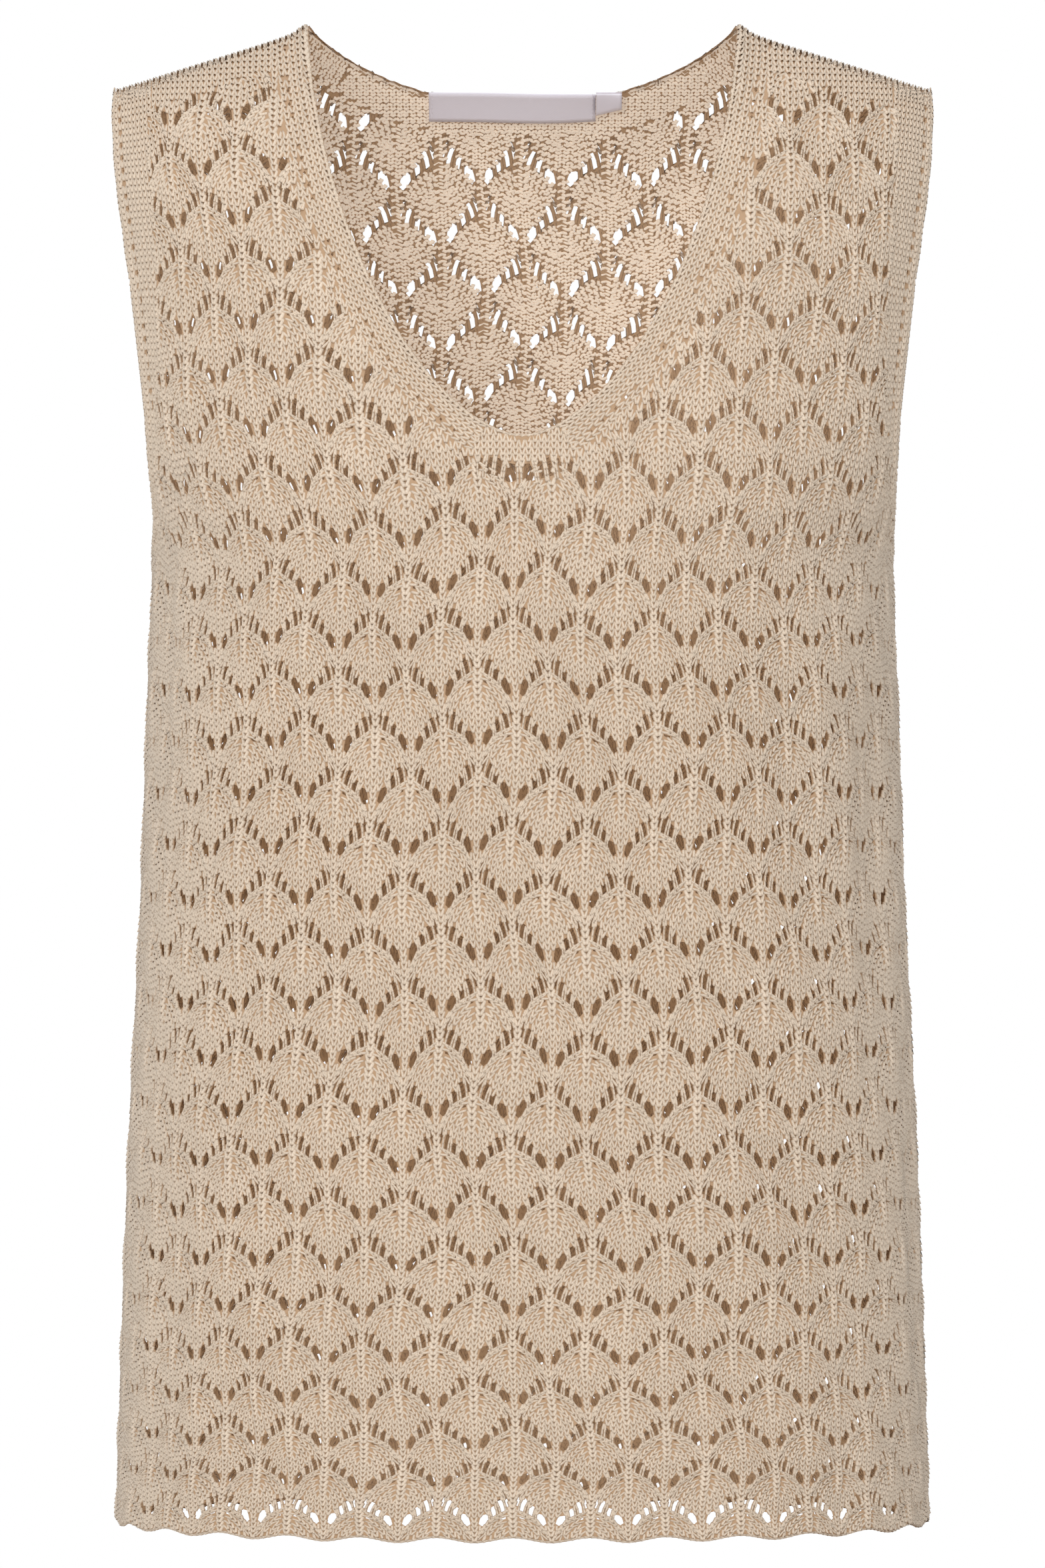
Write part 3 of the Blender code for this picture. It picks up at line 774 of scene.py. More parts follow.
@dataclass(frozen=True)
class Bands:
    """Widths of the plain stockinette borders, in millimetres."""

    neck: float = 14.5
    neck_wales: float = 11.8
    shoulder: float = 13.0
    armhole_heights: tuple[float, ...] = (-198.0, -160.0, -120.0, -60.0, -10.0)
    armhole_widths: tuple[float, ...] = (0.0, 5.0, 13.0, 21.0, 26.0)
    steep_neck: float = 0.5

    def armhole(self, height: Points) -> Points:
        """Width of the armhole border at each height, in metres."""
        heights = [value * MM for value in self.armhole_heights]
        return np.interp(height, heights, self.armhole_widths) * MM

    def lace_depth(self, points: Points, gaps: dict[str, Points]) -> Points:
        """How far points lie inside the lace, negative in the plain borders."""
        return np.minimum.reduce((
            gaps["neck"] - self.neck * MM,
            gaps["shoulder"] - self.shoulder * MM,
            gaps["armhole"] - self.armhole(points[:, 1]),
        ))


@dataclass
class Legs:
    """Raised legs of stitches on the flat panel, gathered before they are laid round."""

    start: list[Points] = field(default_factory=list)
    end: list[Points] = field(default_factory=list)
    width: list[Points] = field(default_factory=list)
    lift: list[Points] = field(default_factory=list)

    def add(self, start: Points, end: Points, width: Points, lift: float) -> None:
        """Add legs by their two ends, width and extra lift, all in metres."""
        self.start.append(start)
        self.end.append(end)
        self.width.append(np.broadcast_to(width, len(start)))
        self.lift.append(np.full(len(start), lift))

    def extend(self, start: Points, end: Points, width: Points, lift: Points) -> None:
        """Add legs that have each their own lift."""
        for kept, part in zip((self.start, self.end, self.width, self.lift),
                              (start, end, width, lift)):
            kept.append(part)

    def keep(self, chosen: list[Points]) -> None:
        """Keep the chosen legs of each lot, in the order in which the lots were added."""
        for lots in (self.start, self.end, self.width, self.lift):
            lots[:] = [lot[picked] for lot, picked in zip(lots, chosen)]

    def add_stitches(self, stitches: Points, pitch: float, lift: float) -> None:
        """Add both legs of V stitches.

        Args:
            stitches: Middle, direction up the wale and half width, one stitch a row.
            pitch: Distance from stitch to stitch up the wale.
            lift: Extra lift above the fabric.
        """
        middle, way, half = stitches[:, :2], stitches[:, 2:4], stitches[:, 4:5]
        sideways = -to_the_left(way)
        for sign in (1.0, -1.0):
            start = middle - way * pitch * 0.62 + sideways * half * 0.14 * sign
            end = middle + way * pitch * 0.70 + sideways * half * 0.86 * sign
            self.add(start, end, half[:, 0] * 1.04, lift)

    def arrays(self) -> tuple[Points, Points, Points, Points]:
        """All legs: starts, ends, widths and lifts."""
        return tuple(np.concatenate(part) for part in (self.start, self.end, self.width, self.lift))


def finished(name: str, mesh: bpy.types.Mesh, material: bpy.types.Material) -> bpy.types.Object:
    """Put a mesh in the scene as a piece that rides on the top.

    Args:
        name: Name of the piece.
        mesh: Its mesh, in place.
        material: Its material.

    Returns:
        The new object.
    """
    mesh.materials.append(material)
    mesh.shade_smooth()
    piece = bpy.data.objects.new(name, mesh)
    bpy.context.scene.collection.objects.link(piece)
    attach(piece, "root")
    LOG.info("%s: %d faces", name, len(mesh.polygons))
    return piece


@dataclass(frozen=True)
class CottonYarn:
    """Matt soft-spun cotton yarn: sand coloured, no gloss, a faint halo of fibres. Its colour is darker, as
    painted shade, where it lies low in the knit.
    """

    name: str
    light: str = "#EAD9C5"
    # Colour of the painted shade where the yarn lies deep in the knit
    painted_shade: str = "#8C6A47"
    glow: float = 0.0
    daylight: str = "#B98C5E"
    ply: float = 0.55 * MM
    fibre: float = 0.16 * MM

    def make(self) -> bpy.types.Material:
        """Build the material, its colour darkened as painted shade where the yarn lies deep in the knit."""
        # The glow stands for daylight that filters through the open knit to its inside
        material, tree, shader = shaded(self.name, {
            "Roughness": 0.92, "Specular IOR Level": 0.18, "Sheen Weight": 0.12,
            "Sheen Roughness": 0.6, "Emission Color": linear(self.daylight),
            "Emission Strength": self.glow})
        place = add_node(tree, "ShaderNodeTexCoord")
        height = add_node(tree, "ShaderNodeAttribute", {"attribute_name": "height"})
        tone = add_node(tree, "ShaderNodeAttribute", {"attribute_name": "tone"})
        # Each leg: x runs from -1 to 1 across the strand, y from -1 to 1 along it
        strand = add_node(tree, "ShaderNodeAttribute", {"attribute_name": "strand"})
        parts = add_node(tree, "ShaderNodeSeparateXYZ", links={"Vector": strand.outputs["Vector"]})
        # Painted shade: the lower a point lies in the knit, the darker its colour
        shadow = height.outputs["Fac"]
        # Painted shade: each leg darkens towards its sides and its ends, where it tucks under its neighbours
        for axis, first, last, floor in (("X", 0.5, 1.0, 0.25), ("Y", 0.6, 1.1, 0.55)):
            size = add_node(tree, "ShaderNodeMath", {"operation": "ABSOLUTE"},
                            {0: parts.outputs[axis]})
            rim = add_node(tree, "ShaderNodeMapRange", {
                "interpolation_type": "SMOOTHSTEP", "From Min": first, "From Max": last,
                "To Min": 1.0, "To Max": floor}, {"Value": size.outputs[0]})
            shadow = add_node(tree, "ShaderNodeMath", {"operation": "MULTIPLY"},
                              {0: shadow, 1: rim.outputs["Result"]}).outputs[0]
        # The two plies wind round each other once in about 1.1 mm
        wound = add_node(tree, "ShaderNodeVectorMath", {
            "operation": "DOT_PRODUCT", 1: (3.6, 9.4, 0.0)}, {0: strand.outputs["Vector"]})
        plies = add_node(tree, "ShaderNodeMath", {"operation": "SINE"},
                         {0: wound.outputs["Value"]})
        # Uneven dye and handling, over some 40 mm
        cloud = add_node(tree, "ShaderNodeTexNoise", {"Scale": 1 / (40 * MM), "Detail": 3.0},
                         {"Vector": place.outputs["Object"]})
        # Painted shade: dark colour in the knit's hollows, light colour on the legs' ridges
        depth = add_node(tree, "ShaderNodeMix", {
            "data_type": "RGBA", 6: linear(self.painted_shade), 7: linear(self.light)}, {0: shadow})
        # The tone of each leg and the dye cloud vary at random; the plies' grooves darken the colour a little
        # as painted shade
        total = None
        for source, share, rest in ((tone.outputs["Fac"], 0.10, 0.90),
                                    (cloud.outputs["Fac"], 0.12, 0.94),
                                    (plies.outputs[0], 0.045, 1.0)):
            shade = add_node(tree, "ShaderNodeMath", {
                "operation": "MULTIPLY_ADD", 1: share, 2: rest}, {0: source}).outputs[0]
            total = shade if total is None else add_node(
                tree, "ShaderNodeMath", {"operation": "MULTIPLY"}, {0: total, 1: shade}).outputs[0]
        colour = add_node(tree, "ShaderNodeMix", {
            "data_type": "RGBA", "blend_type": "MULTIPLY", 0: 1.0},
            {6: depth.outputs[2], 7: total})
        tree.links.new(colour.outputs[2], shader.inputs["Base Color"])
        # Plies and loose fibres of the yarn
        fibres = add_node(tree, "ShaderNodeTexNoise", {
            "Scale": 1 / self.ply, "Detail": 4.0, "Roughness": 0.65},
            {"Vector": place.outputs["Object"]})
        rough = add_node(tree, "ShaderNodeMath", {"operation": "MULTIPLY_ADD", 1: 0.22},
                         {0: plies.outputs[0], 2: fibres.outputs["Fac"]})
        bump = add_node(tree, "ShaderNodeBump", {"Strength": 0.5, "Distance": self.fibre},
                        {"Height": rough.outputs[0]})
        tree.links.new(bump.outputs["Normal"], shader.inputs["Normal"])
        return material


@dataclass
class KnitPanel:
    """One lace panel: its fabric with the gaps open, and the legs of its stitches."""

    side: Side
    bands: Bands = field(default_factory=Bands)
    fabric_lift: float = 0.9 * MM
    scale_relief: float = 1.15 * MM
    rib_relief: float = 0.55 * MM
    grid_pitch: float = 3.3 * MM
    edge_leg_width: float = 1.05 * MM
    edge_leg_lift: float = -0.15 * MM
    plain_wale: float = 2.4 * MM
    plain_course: float = 2.55 * MM
    leg_height: float = 0.85 * MM
    purl_foot: float = -192.0 * MM
    purl_reach: float = 128.0 * MM
    behind_neck: float = 2.0 * MM
    # Share of their size that the back's gaps keep where the front hides them, for each
    # of the lace's gaps: held closer together, so that no ground shows through the body
    narrowed: tuple[float, ...] = (0.62, 0.58, 0.48, 0.48, 0.8, 0.8)

    def __post_init__(self) -> None:
        """Set up the shell and the cut."""
        self.shell = Shell(self.side)
        self.lace = ScaleLace.of(self.side)
        self.cut = FlatPanel(self.shell, self.lace)
        self.random = np.random.default_rng(SEED + (self.side is Side.BACK))

    def relief(self, points: Points) -> Points:
        """Lift of the fabric above the inside of the wall, in metres."""
        gaps = self.cut.distances(points)
        depth = self.bands.lace_depth(points, gaps)
        fade = np.clip((depth + 3 * MM) / (9 * MM), 0.0, 1.0)
        height = self.lace.repeat_height * MM
        place, off_column, drop = self.lace.columns(points[:, 0])
        up = points[:, 1] - self.lace.first_pair * MM + 6 * MM
        phase = np.cos(pi * place) * np.cos(2 * pi * up / height)
        scale = self.scale_relief * (1 - phase) / 2
        below = (self.lace.first_pair * MM + drop - points[:, 1]) % height
        rib = np.clip(1 - np.abs(below - 18 * MM) / (13 * MM), 0.0, 1.0) ** 0.6
        rib = self.rib_relief * rib * np.exp(-(off_column / (1.7 * MM)) ** 2)
        rim = np.minimum(gaps["neck"], gaps["armhole"])
        roll = 0.65 * MM * np.exp(-((rim - 2.2 * MM) / (1.7 * MM)) ** 2)
        tuck = -1.3 * MM * np.clip(1 - rim / (1.6 * MM), 0.0, 1.0) ** 2
        return self.fabric_lift + fade * (scale + rib) + roll + tuck

    def from_edges(self, points: Points, seams: bool = False) -> Points:
        """Distance of flat points from the nearest edge, with or without the side seams."""
        gaps = self.cut.distances(points)
        nearest = np.minimum.reduce([gaps[name] for name in ("neck", "armhole", "shoulder", "hem")])
        if seams:
            nearest = np.minimum(nearest, self.shell.half_girth - np.abs(points[:, 0]))
        return nearest

    def gap_loops(self) -> list[Points]:
        """Outlines of the gaps that are open on this panel."""
        loops, shares = [], []
        for gap, share in zip(self.lace.gaps, self.narrowed):
            shape = np.array(gap) * self.lace.stretch * MM
            for way in (1.0, -1.0):
                turned = shape * np.array([way, 1.0])
                turned = turned if way > 0 else turned[::-1]
                for origin in self.lace.origins():
                    loops.append(turned + origin)
                    shares.append(share)
        middles = np.array([loop.mean(axis=0) for loop in loops])
        measured = self.cut.distances(middles)
        open_here = self.cut.inside(middles) & (self.bands.lace_depth(middles, measured) > 0)
        open_here &= np.abs(middles[:, 0]) < self.shell.half_girth - 2.5 * MM
        open_here &= ~self.lace.in_foot(middles)
        hidden = ~self.shown_by_neck(middles) & (self.side is Side.BACK)
        kept = []
        for loop, middle, keep, share in zip(
                loops, middles, open_here, np.where(hidden, shares, 1.0)):
            if keep and loop[:, 1].min() > self.shell.hem + 2.4 * MM:
                size = share * (1 + self.random.normal(0.0, 0.07, 2))
                kept.append(middle + (loop - middle) * size
                            + self.random.normal(0.0, 0.1 * MM, 2))
        if self.side is Side.FRONT:
            for gap in self.lace.foot_gaps:
                shape = np.array(gap)
                for way, order in ((1.0, 1), (-1.0, -1)):
                    turned = shape * np.array([way, 1.0]) + np.array([self.lace.foot_column, 0.0])
                    kept.append(turned[::order] * MM)
        kept += self.eyelet_loops()
        rims = np.concatenate(kept)
        nearest = self.from_edges(rims)
        first = np.concatenate(([0], np.cumsum([len(loop) for loop in kept])))
        return [
            loop for loop, begin, end in zip(kept, first[:-1], first[1:])
            if nearest[begin:end].min() > 1.2 * MM
        ]

    @cached_property
    def eyelets(self) -> Points:
        """Small holes in a row beside the V neck and beside each armhole."""
        rows = []
        for edge, pitch, distance in ((self.cut.neck, 5.5, 9.1), (self.cut.armhole, 5.1, 6.3)):
            path = resample(edge.path, pitch * MM)
            way = unit(np.gradient(path, axis=0))
            inward = to_the_left(way) * distance * MM
            if edge is self.cut.neck:
                steep = np.abs(way[:, 1]) > self.bands.steep_neck + 0.08
                rows.append((path - inward)[steep])
            else:
                wide = self.bands.armhole(path[:, 1]) > 9 * MM
                rows += [(path + inward)[wide], self.cut.mirrored((path + inward)[wide])]
        found = np.concatenate(rows)
        found += self.random.normal(0.0, 0.25 * MM, found.shape)
        return found[self.cut.inside(found)]

    def eyelet_loops(self) -> list[Points]:
        """Outlines of the small holes that cross none of the levels."""
        shape = np.array([(0.6, 0.0), (0.0, 0.85), (-0.6, 0.0), (0.0, -0.85)]) * MM
        clear = self.cut.distances(self.eyelets)["shoulder"] > 4 * MM
        return [shape + middle for middle, keep in zip(self.eyelets, clear)
                if keep and np.abs(self.levels() - middle[1]).min() > 0.9 * MM]

    def drift(self, points: Points) -> Points:
        """Flat points where uneven handling has left them, fixed at all edges.

        The rows of scales also sag a little on both sides of the V neck's foot.
        """
        fade = np.clip((self.from_edges(points, seams=True) / MM - 7) / 22, 0.0, 1.0)
        x, y = points.T / MM
        sideways = 1.0 * np.sin(y / 15.4 + 0.8) + 0.8 * np.sin(x / 9.7 + y / 22.8)
        upward = 0.9 * np.sin(x / 13.2 + 2.5) + 0.8 * np.sin(x / 5.9 + y / 33.6)
        upward -= 3.0 * np.exp(-((y + 190) / 55) ** 2) * (1 - np.exp(-(x / 32) ** 2))
        return points + (np.stack((sideways, upward), axis=1) * fade[:, None]) * MM

    def lay(self, points: Points, lift: Points) -> Points:
        """Lay flat points round the shell, each at its lift out from the inside."""
        drifted = self.drift(points)
        return self.shell.place(drifted[:, 0], drifted[:, 1], lift)

    def levels(self) -> Points:
        """Heights between rows of scales that no gap crosses, from below the hem to the top."""
        low = self.shell.hem - 6 * MM
        step = self.lace.repeat_height / 2 * MM
        free = self.lace.first_pair * MM - 5.2 * MM
        top = self.shell.neck_point_height + 6 * MM
        between = np.arange(free, top, step)
        return np.concatenate(([low], between[between > low + 4 * MM], [top]))

    def level_outline(self, levels: Points) -> Points:
        """The cut's outline, with a point wherever it crosses one of the levels."""
        loop = self.cut.outline
        points = []
        for start, end in zip(loop, np.roll(loop, -1, axis=0)):
            points.append(start)
            low, high = sorted((start[1], end[1]))
            shares = [(level - start[1]) / (end[1] - start[1]) for level in levels
                      if low + 1e-7 < level < high - 1e-7]
            points += [start + share * (end - start) for share in sorted(shares)]
        return np.array(points)

    def grid_points(self, loops: list[Points], levels: Points) -> Points:
        """Points between the gaps, in staggered rows, and along each level."""
        low, high = self.cut.outline.min(axis=0), self.cut.outline.max(axis=0)
        rows = []
        for index, height in enumerate(np.arange(low[1], high[1], self.grid_pitch * 0.87)):
            if np.abs(levels - height).min() > 1.5 * MM:
                along = np.arange(low[0] + (index % 2) * self.grid_pitch / 2, high[0],
                                  self.grid_pitch)
                rows.append(np.stack((along, np.full(len(along), height)), axis=1))
        grid = np.concatenate(rows)
        rims = np.concatenate([*loops, [loop.mean(axis=0) for loop in loops]])
        grid = grid[self.far_from(grid, rims, 1.5 * MM)]
        along = np.arange(low[0], high[0], self.grid_pitch)
        crossing = np.concatenate([
            np.stack((along, np.full(len(along), level)), axis=1) for level in levels[1:-1]])
        grid = np.concatenate((grid, crossing))
        grid = grid[self.cut.inside(grid)]
        return grid[self.from_edges(grid, seams=True) > 1.2 * MM]

    def fill_strip(self, low: float, high: float, outline: Points, loops: list[Points],
                   grid: Points) -> list[Points]:
        """Fill one level strip of the cut with triangles, leaving its gaps open.

        Args:
            low: Level at the foot of the strip.
            high: Level at its top.
            outline: The cut's outline, with points on both levels.
            loops: Outlines of all gaps.
            grid: Points between the gaps.

        Returns:
            Corners of the triangles, three flat points each.
        """
        def within(height: Points) -> Points:
            return (height >= low - 1e-7) & (height <= high + 1e-7)

        points = [Vector(point / MM) for point in grid[within(grid[:, 1])]]
        faces, edges = [], []
        for loop in loops:
            if low < loop[:, 1].mean() < high:
                faces.append(list(range(len(points), len(points) + len(loop))))
                points += [Vector(point / MM) for point in loop]
        chosen = within(outline[:, 1])
        places = np.cumsum(chosen) - 1 + len(points)
        points += [Vector(point / MM) for point in outline[chosen]]
        for index in range(len(outline)):
            following = (index + 1) % len(outline)
            if chosen[index] and chosen[following]:
                edges.append((int(places[index]), int(places[following])))
        if len(points) < 3:
            return []
        verts, _, triangles, _, _, owners = delaunay_2d_cdt(points, edges, faces, 0, 1e-4)
        flat = np.array([(vert.x, vert.y) for vert in verts]) * MM
        kept = [tri for tri, owner in zip(triangles, owners) if not owner]
        if not kept:
            return []
        corners = flat[np.array(kept)]
        return list(corners[self.cut.inside(corners.mean(axis=1))])

    def fabric_mesh(self) -> bpy.types.Mesh:
        """Fill the cut with triangles, leave the gaps open, and lay it round the shell."""
        levels = self.levels()
        outline = self.level_outline(levels)
        loops = self.gap_loops()
        grid = self.grid_points(loops, levels)
        triangles = []
        for low, high in zip(levels[:-1], levels[1:]):
            triangles += self.fill_strip(low, high, outline, loops, grid)
        corners = np.array(triangles).reshape(-1, 2)
        _, first, index = np.unique(np.round(corners / (0.01 * MM)).astype(int), axis=0,
                                    return_index=True, return_inverse=True)
        flat = corners[first]
        data = bpy.data.meshes.new(self.side.label + "_fabric")
        lifted = self.lay(flat, self.relief(flat))
        data.from_pydata(lifted, [], index.reshape(-1, 3))
        mesh = bmesh.new()
        mesh.from_mesh(data)
        self.face_outwards(mesh)
        mesh.to_mesh(data)
        mesh.free()
        # Painted shade: the whole fabric sheet sits low in the colour's range, so it shows dark between the
        # legs and through the gaps
        self.paint(data, np.full(len(data.vertices), 0.25), np.full(len(data.vertices), 0.5))
        LOG.info("%s: %d gaps", data.name, len(loops))
        return data

    @staticmethod
    def far_from(points: Points, others: Points, reach: float) -> Points:
        """Tell which flat points lie farther than a reach from all the others."""
        cell = 4 * reach
        buckets: dict[tuple[int, int], list[Points]] = {}
        for other in others:
            buckets.setdefault((int(other[0] // cell), int(other[1] // cell)), []).append(other)
        keep = np.ones(len(points), dtype=bool)
        for index, point in enumerate(points):
            column, row = int(point[0] // cell), int(point[1] // cell)
            for near in ((column + i, row + j) for i in (-1, 0, 1) for j in (-1, 0, 1)):
                for other in buckets.get(near, ()):
                    if abs(other[0] - point[0]) < reach and abs(other[1] - point[1]) < reach:
                        keep[index] = False
        return keep

    def face_outwards(self, mesh: bmesh.types.BMesh) -> None:
        """Turn the faces of an open panel so that they point out of the garment."""
        bmesh.ops.recalc_face_normals(mesh, faces=mesh.faces)
        outward = sum(face.normal.y * face.calc_area() for face in mesh.faces) * self.side.value
        if outward < 0:
            bmesh.ops.reverse_faces(mesh, faces=mesh.faces)

    @staticmethod
    def paint(data: bpy.types.Mesh, height: Points, tone: Points) -> None:
        """Keep the height in the knit, which sets the painted shade in the yarn's colour, and the random tone
        of each point.
        """
        for name, values in (("height", height), ("tone", tone)):
            layer = data.attributes.new(name, "FLOAT", "POINT")
            layer.data.foreach_set("value", values.astype(np.float32))

    def lace_stitches(self) -> tuple[Points, Points]:
        """Stitches and single strands of the lace over the whole panel, in metres."""
        stitches, strands = self.lace.wale_stitches(), self.lace.strand_legs()
        origins = self.lace.origins()
        many = np.repeat(stitches[None], len(origins), axis=0)
        many[..., :2] = many[..., :2] * MM + origins[:, None]
        many[..., 4] *= MM
        single = np.repeat(strands[None], len(origins), axis=0)
        single[..., 0:2] = single[..., 0:2] * MM + origins[:, None]
        single[..., 2:4] = single[..., 2:4] * MM + origins[:, None]
        single[..., 4] *= MM
        many, single = many.reshape(-1, 5), single.reshape(-1, 5)
        return many[self.in_lace(many[:, :2])], single[self.in_lace(
            (single[:, 0:2] + single[:, 2:4]) / 2)]

    def in_lace(self, points: Points) -> Points:
        """Tell which flat points take a lace stitch."""
        gaps = self.cut.distances(points)
        inside = self.cut.inside(points) & (self.bands.lace_depth(points, gaps) > 0)
        return inside & (gaps["hem"] > 1.0 * MM)

    def border_stitches(self) -> Points:
        """Stitches of the armhole and neck borders, whose wales run along the edge."""
        rows = []
        for edge, widest in ((self.cut.armhole, 27.0), (self.cut.neck, self.bands.neck_wales)):
            path = resample(edge.path, self.plain_course)
            way = unit(np.gradient(path, axis=0))
            inward = to_the_left(way) * (-1 if edge is self.cut.neck else 1)
            upward = np.where(way[:, 1:] < 0, -way, way)
            for distance in np.arange(1.3, widest, self.plain_wale / MM) * MM:
                middle = path + inward * distance
                if edge is self.cut.armhole:
                    keep = distance < self.bands.armhole(path[:, 1]) + 1.0 * MM
                else:
                    keep = np.abs(way[:, 1]) > self.bands.steep_neck
                half = np.full((len(path), 1), self.plain_wale / 2)
                found = np.concatenate((middle, upward, half), axis=1)[keep]
                rows.append(found)
                if edge is self.cut.armhole:
                    rows.append(found * np.array([-1.0, 1.0, -1.0, 1.0, 1.0]))
        stitches = np.concatenate(rows)
        return stitches[self.cut.inside(stitches[:, :2])]

    def plain_stitches(self) -> Points:
        """Upright stitches between the lace and the borders."""
        low, high = self.cut.outline.min(axis=0), self.cut.outline.max(axis=0)
        along = np.arange(low[0], high[0], self.plain_wale)
        height = np.arange(max(low[1], self.shell.underarm), high[1], self.plain_course)
        points = np.stack([part.ravel() for part in np.meshgrid(along, height)], axis=1)
        points = points[self.cut.inside(points)]
        gaps = self.cut.distances(points)
        plain = self.bands.lace_depth(points, gaps) <= 0
        in_neck = (gaps["neck"] < (self.bands.neck_wales + 0.6) * MM)
        in_neck &= gaps["neck_steep"] > self.bands.steep_neck
        in_armhole = gaps["armhole"] < self.bands.armhole(points[:, 1]) + 0.8 * MM
        keep = plain & ~in_neck & ~in_armhole & (gaps["neck"] > 1.2 * MM)
        points = points[keep & (gaps["shoulder"] > 0.6 * MM)]
        rest = np.array([0.0, 1.0, self.plain_wale / 2])
        return np.concatenate((points, np.broadcast_to(rest, (len(points), 3))), axis=1)

    def edge_legs(self, legs: Legs) -> None:
        """Add the chains of loops that finish the neck, the armholes and the hem."""
        for edge, pitch in ((self.cut.neck, 2.3), (self.cut.armhole, 2.5), (self.cut.hem, 2.4)):
            path = resample(edge.path, pitch * MM)
            way = np.diff(path, axis=0)
            inward = unit(to_the_left(way)) * (-1 if edge is self.cut.neck else 1)
            tucked = 0.4 if edge is self.cut.neck and self.side is Side.BACK else 0.0
            for near, far in ((0.25 + tucked, 0.9), (1.0, 0.35 + tucked)):
                start = path[:-1] - way * 0.3 + inward * near * MM
                end = path[1:] + way * 0.3 + inward * far * MM
                width = np.full(len(start), self.edge_leg_width)
                legs.add(start, end, width, self.edge_leg_lift)
                if edge is self.cut.armhole:
                    legs.add(self.cut.mirrored(start), self.cut.mirrored(end), width,
                             self.edge_leg_lift)

    def shoulder_legs(self, legs: Legs) -> None:
        """Add upright stitches beside the shoulder seam, spaced by the distance from it.

        The wall runs nearly level there, so a small drop is a long way over the shoulder.
        """
        shell, wale, course = self.shell, self.plain_wale, 2.2 * MM
        tip = float(shell.across(*self.cut.shoulder.path[:1].T)[0])
        across = np.arange(shell.neck_half_width + wale / 2, tip - wale / 4, wale)
        depth = float(shell.column(3, np.array([0.0]))[0]) * MM
        for row in np.arange(0.8 * MM, 13 * MM, course):
            for lean in (-1.0, 1.0):
                ends = []
                for out, reach in ((0.15, row + 0.62 * course), (0.36, row - 0.3 * course)):
                    place = across + lean * out * wale
                    side = (1 - np.minimum(place / shell.half_width(shell.shoulder_height(place)),
                                           1.0) ** shell.section_power) ** (1 / shell.section_power)
                    share = np.minimum(reach / (depth * np.maximum(side, 0.3)), 1.0)
                    drop = shell.shoulder_rounding * (1 - np.sqrt(1 - share ** 2))
                    height = shell.shoulder_height(place) - drop
                    ends.append(np.stack((shell.along_at(place, height), height), axis=1))
                for side_of in (1.0, -1.0):
                    turned = [end * np.array([side_of, 1.0]) for end in ends]
                    legs.add(*turned, np.full(len(across), self.edge_leg_width), 0.0)

    def within_cut(self, points: Points) -> Points:
        """Tell which flat points lie inside the cut, or past it at the side seam only."""
        past_seam = np.abs(points[:, 0]) > self.shell.half_girth - 3 * MM
        return self.cut.inside(points) | past_seam & (points[:, 1] < self.shell.underarm)

    def gather_legs(self) -> Legs:
        """Gather every raised leg of the panel."""
        legs, lace = Legs(), Legs()
        stitches, strands = self.lace_stitches()
        jitter = self.random.normal(0.0, 0.09 * MM, (len(stitches), 2))
        stitches[:, :2] += jitter
        lace.add_stitches(stitches, self.lace.pitch * MM, 0.0)
        lace.add(strands[:, :2], strands[:, 2:4], strands[:, 4], 0.1 * MM)
        start, end, width, lift = lace.arrays()
        field_of_gaps = GapField(self.lace)
        start, end = (field_of_gaps.push(tip, 0.34) for tip in (start, end))
        plain = np.concatenate((self.border_stitches(), self.plain_stitches()))
        plain[:, :2] += self.random.normal(0.0, 0.08 * MM, (len(plain), 2))
        legs.add_stitches(plain, self.plain_course, 0.0)
        legs.keep([self.far_from((low + high) / 2, self.eyelets, 1.0 * MM)
                   for low, high in zip(legs.start, legs.end)])
        legs.extend(start, end, width, lift)
        among = [self.lace.in_foot_gaps((low + high) / 2)
                 for low, high in zip(legs.start, legs.end)]
        legs.keep([~chosen for chosen in among])
        legs.keep([self.within_cut(low) & self.within_cut(high)
                   & (self.cut.distances((low + high) / 2)["shoulder"] > 1.5 * MM)
                   for low, high in zip(legs.start, legs.end)])
        if self.side is Side.FRONT:
            bars = self.lace.foot_legs()
            legs.add(bars[:, :2], bars[:, 2:4], bars[:, 4], 0.1 * MM)
        self.edge_legs(legs)
        self.shoulder_legs(legs)
        return legs

    @staticmethod
    def leg_template() -> tuple[Points, Points]:
        """A ridged leaf of four triangles, from (0, 0) to (0, 1) and one wide."""
        mesh = bmesh.new()
        bmesh.ops.create_grid(mesh, x_segments=2, y_segments=1, size=0.5)
        bmesh.ops.triangulate(mesh, faces=mesh.faces[:])
        bmesh.ops.translate(mesh, vec=(0.0, 0.5, 0.0), verts=mesh.verts)
        for vert in mesh.verts:
            if abs(vert.co.x) < 0.1:
                vert.co = (0.0, 1.06 if vert.co.y > 0.5 else -0.06, 1.0)
            else:
                vert.co.y = 0.92 if vert.co.y > 0.5 else 0.08
        points = np.array([vert.co[:] for vert in mesh.verts])
        faces = np.array([[vert.index for vert in face.verts] for face in mesh.faces])
        mesh.free()
        return points, faces

    def shown_by_neck(self, points: Points) -> Points:
        """Tell which places on the back's inside show through the opening of the front neck."""
        shell = self.shell
        depth, width_power, depth_power, _ = FlatPanel(Shell(Side.FRONT), self.lace).neckline
        across = np.abs(shell.across(points[:, 0], points[:, 1])) / (shell.neck_half_width + 3 * MM)
        down = (shell.neck_point_height - points[:, 1]) / (depth + self.behind_neck)
        return across ** width_power + np.maximum(down, 0.0) ** depth_power < 1.0

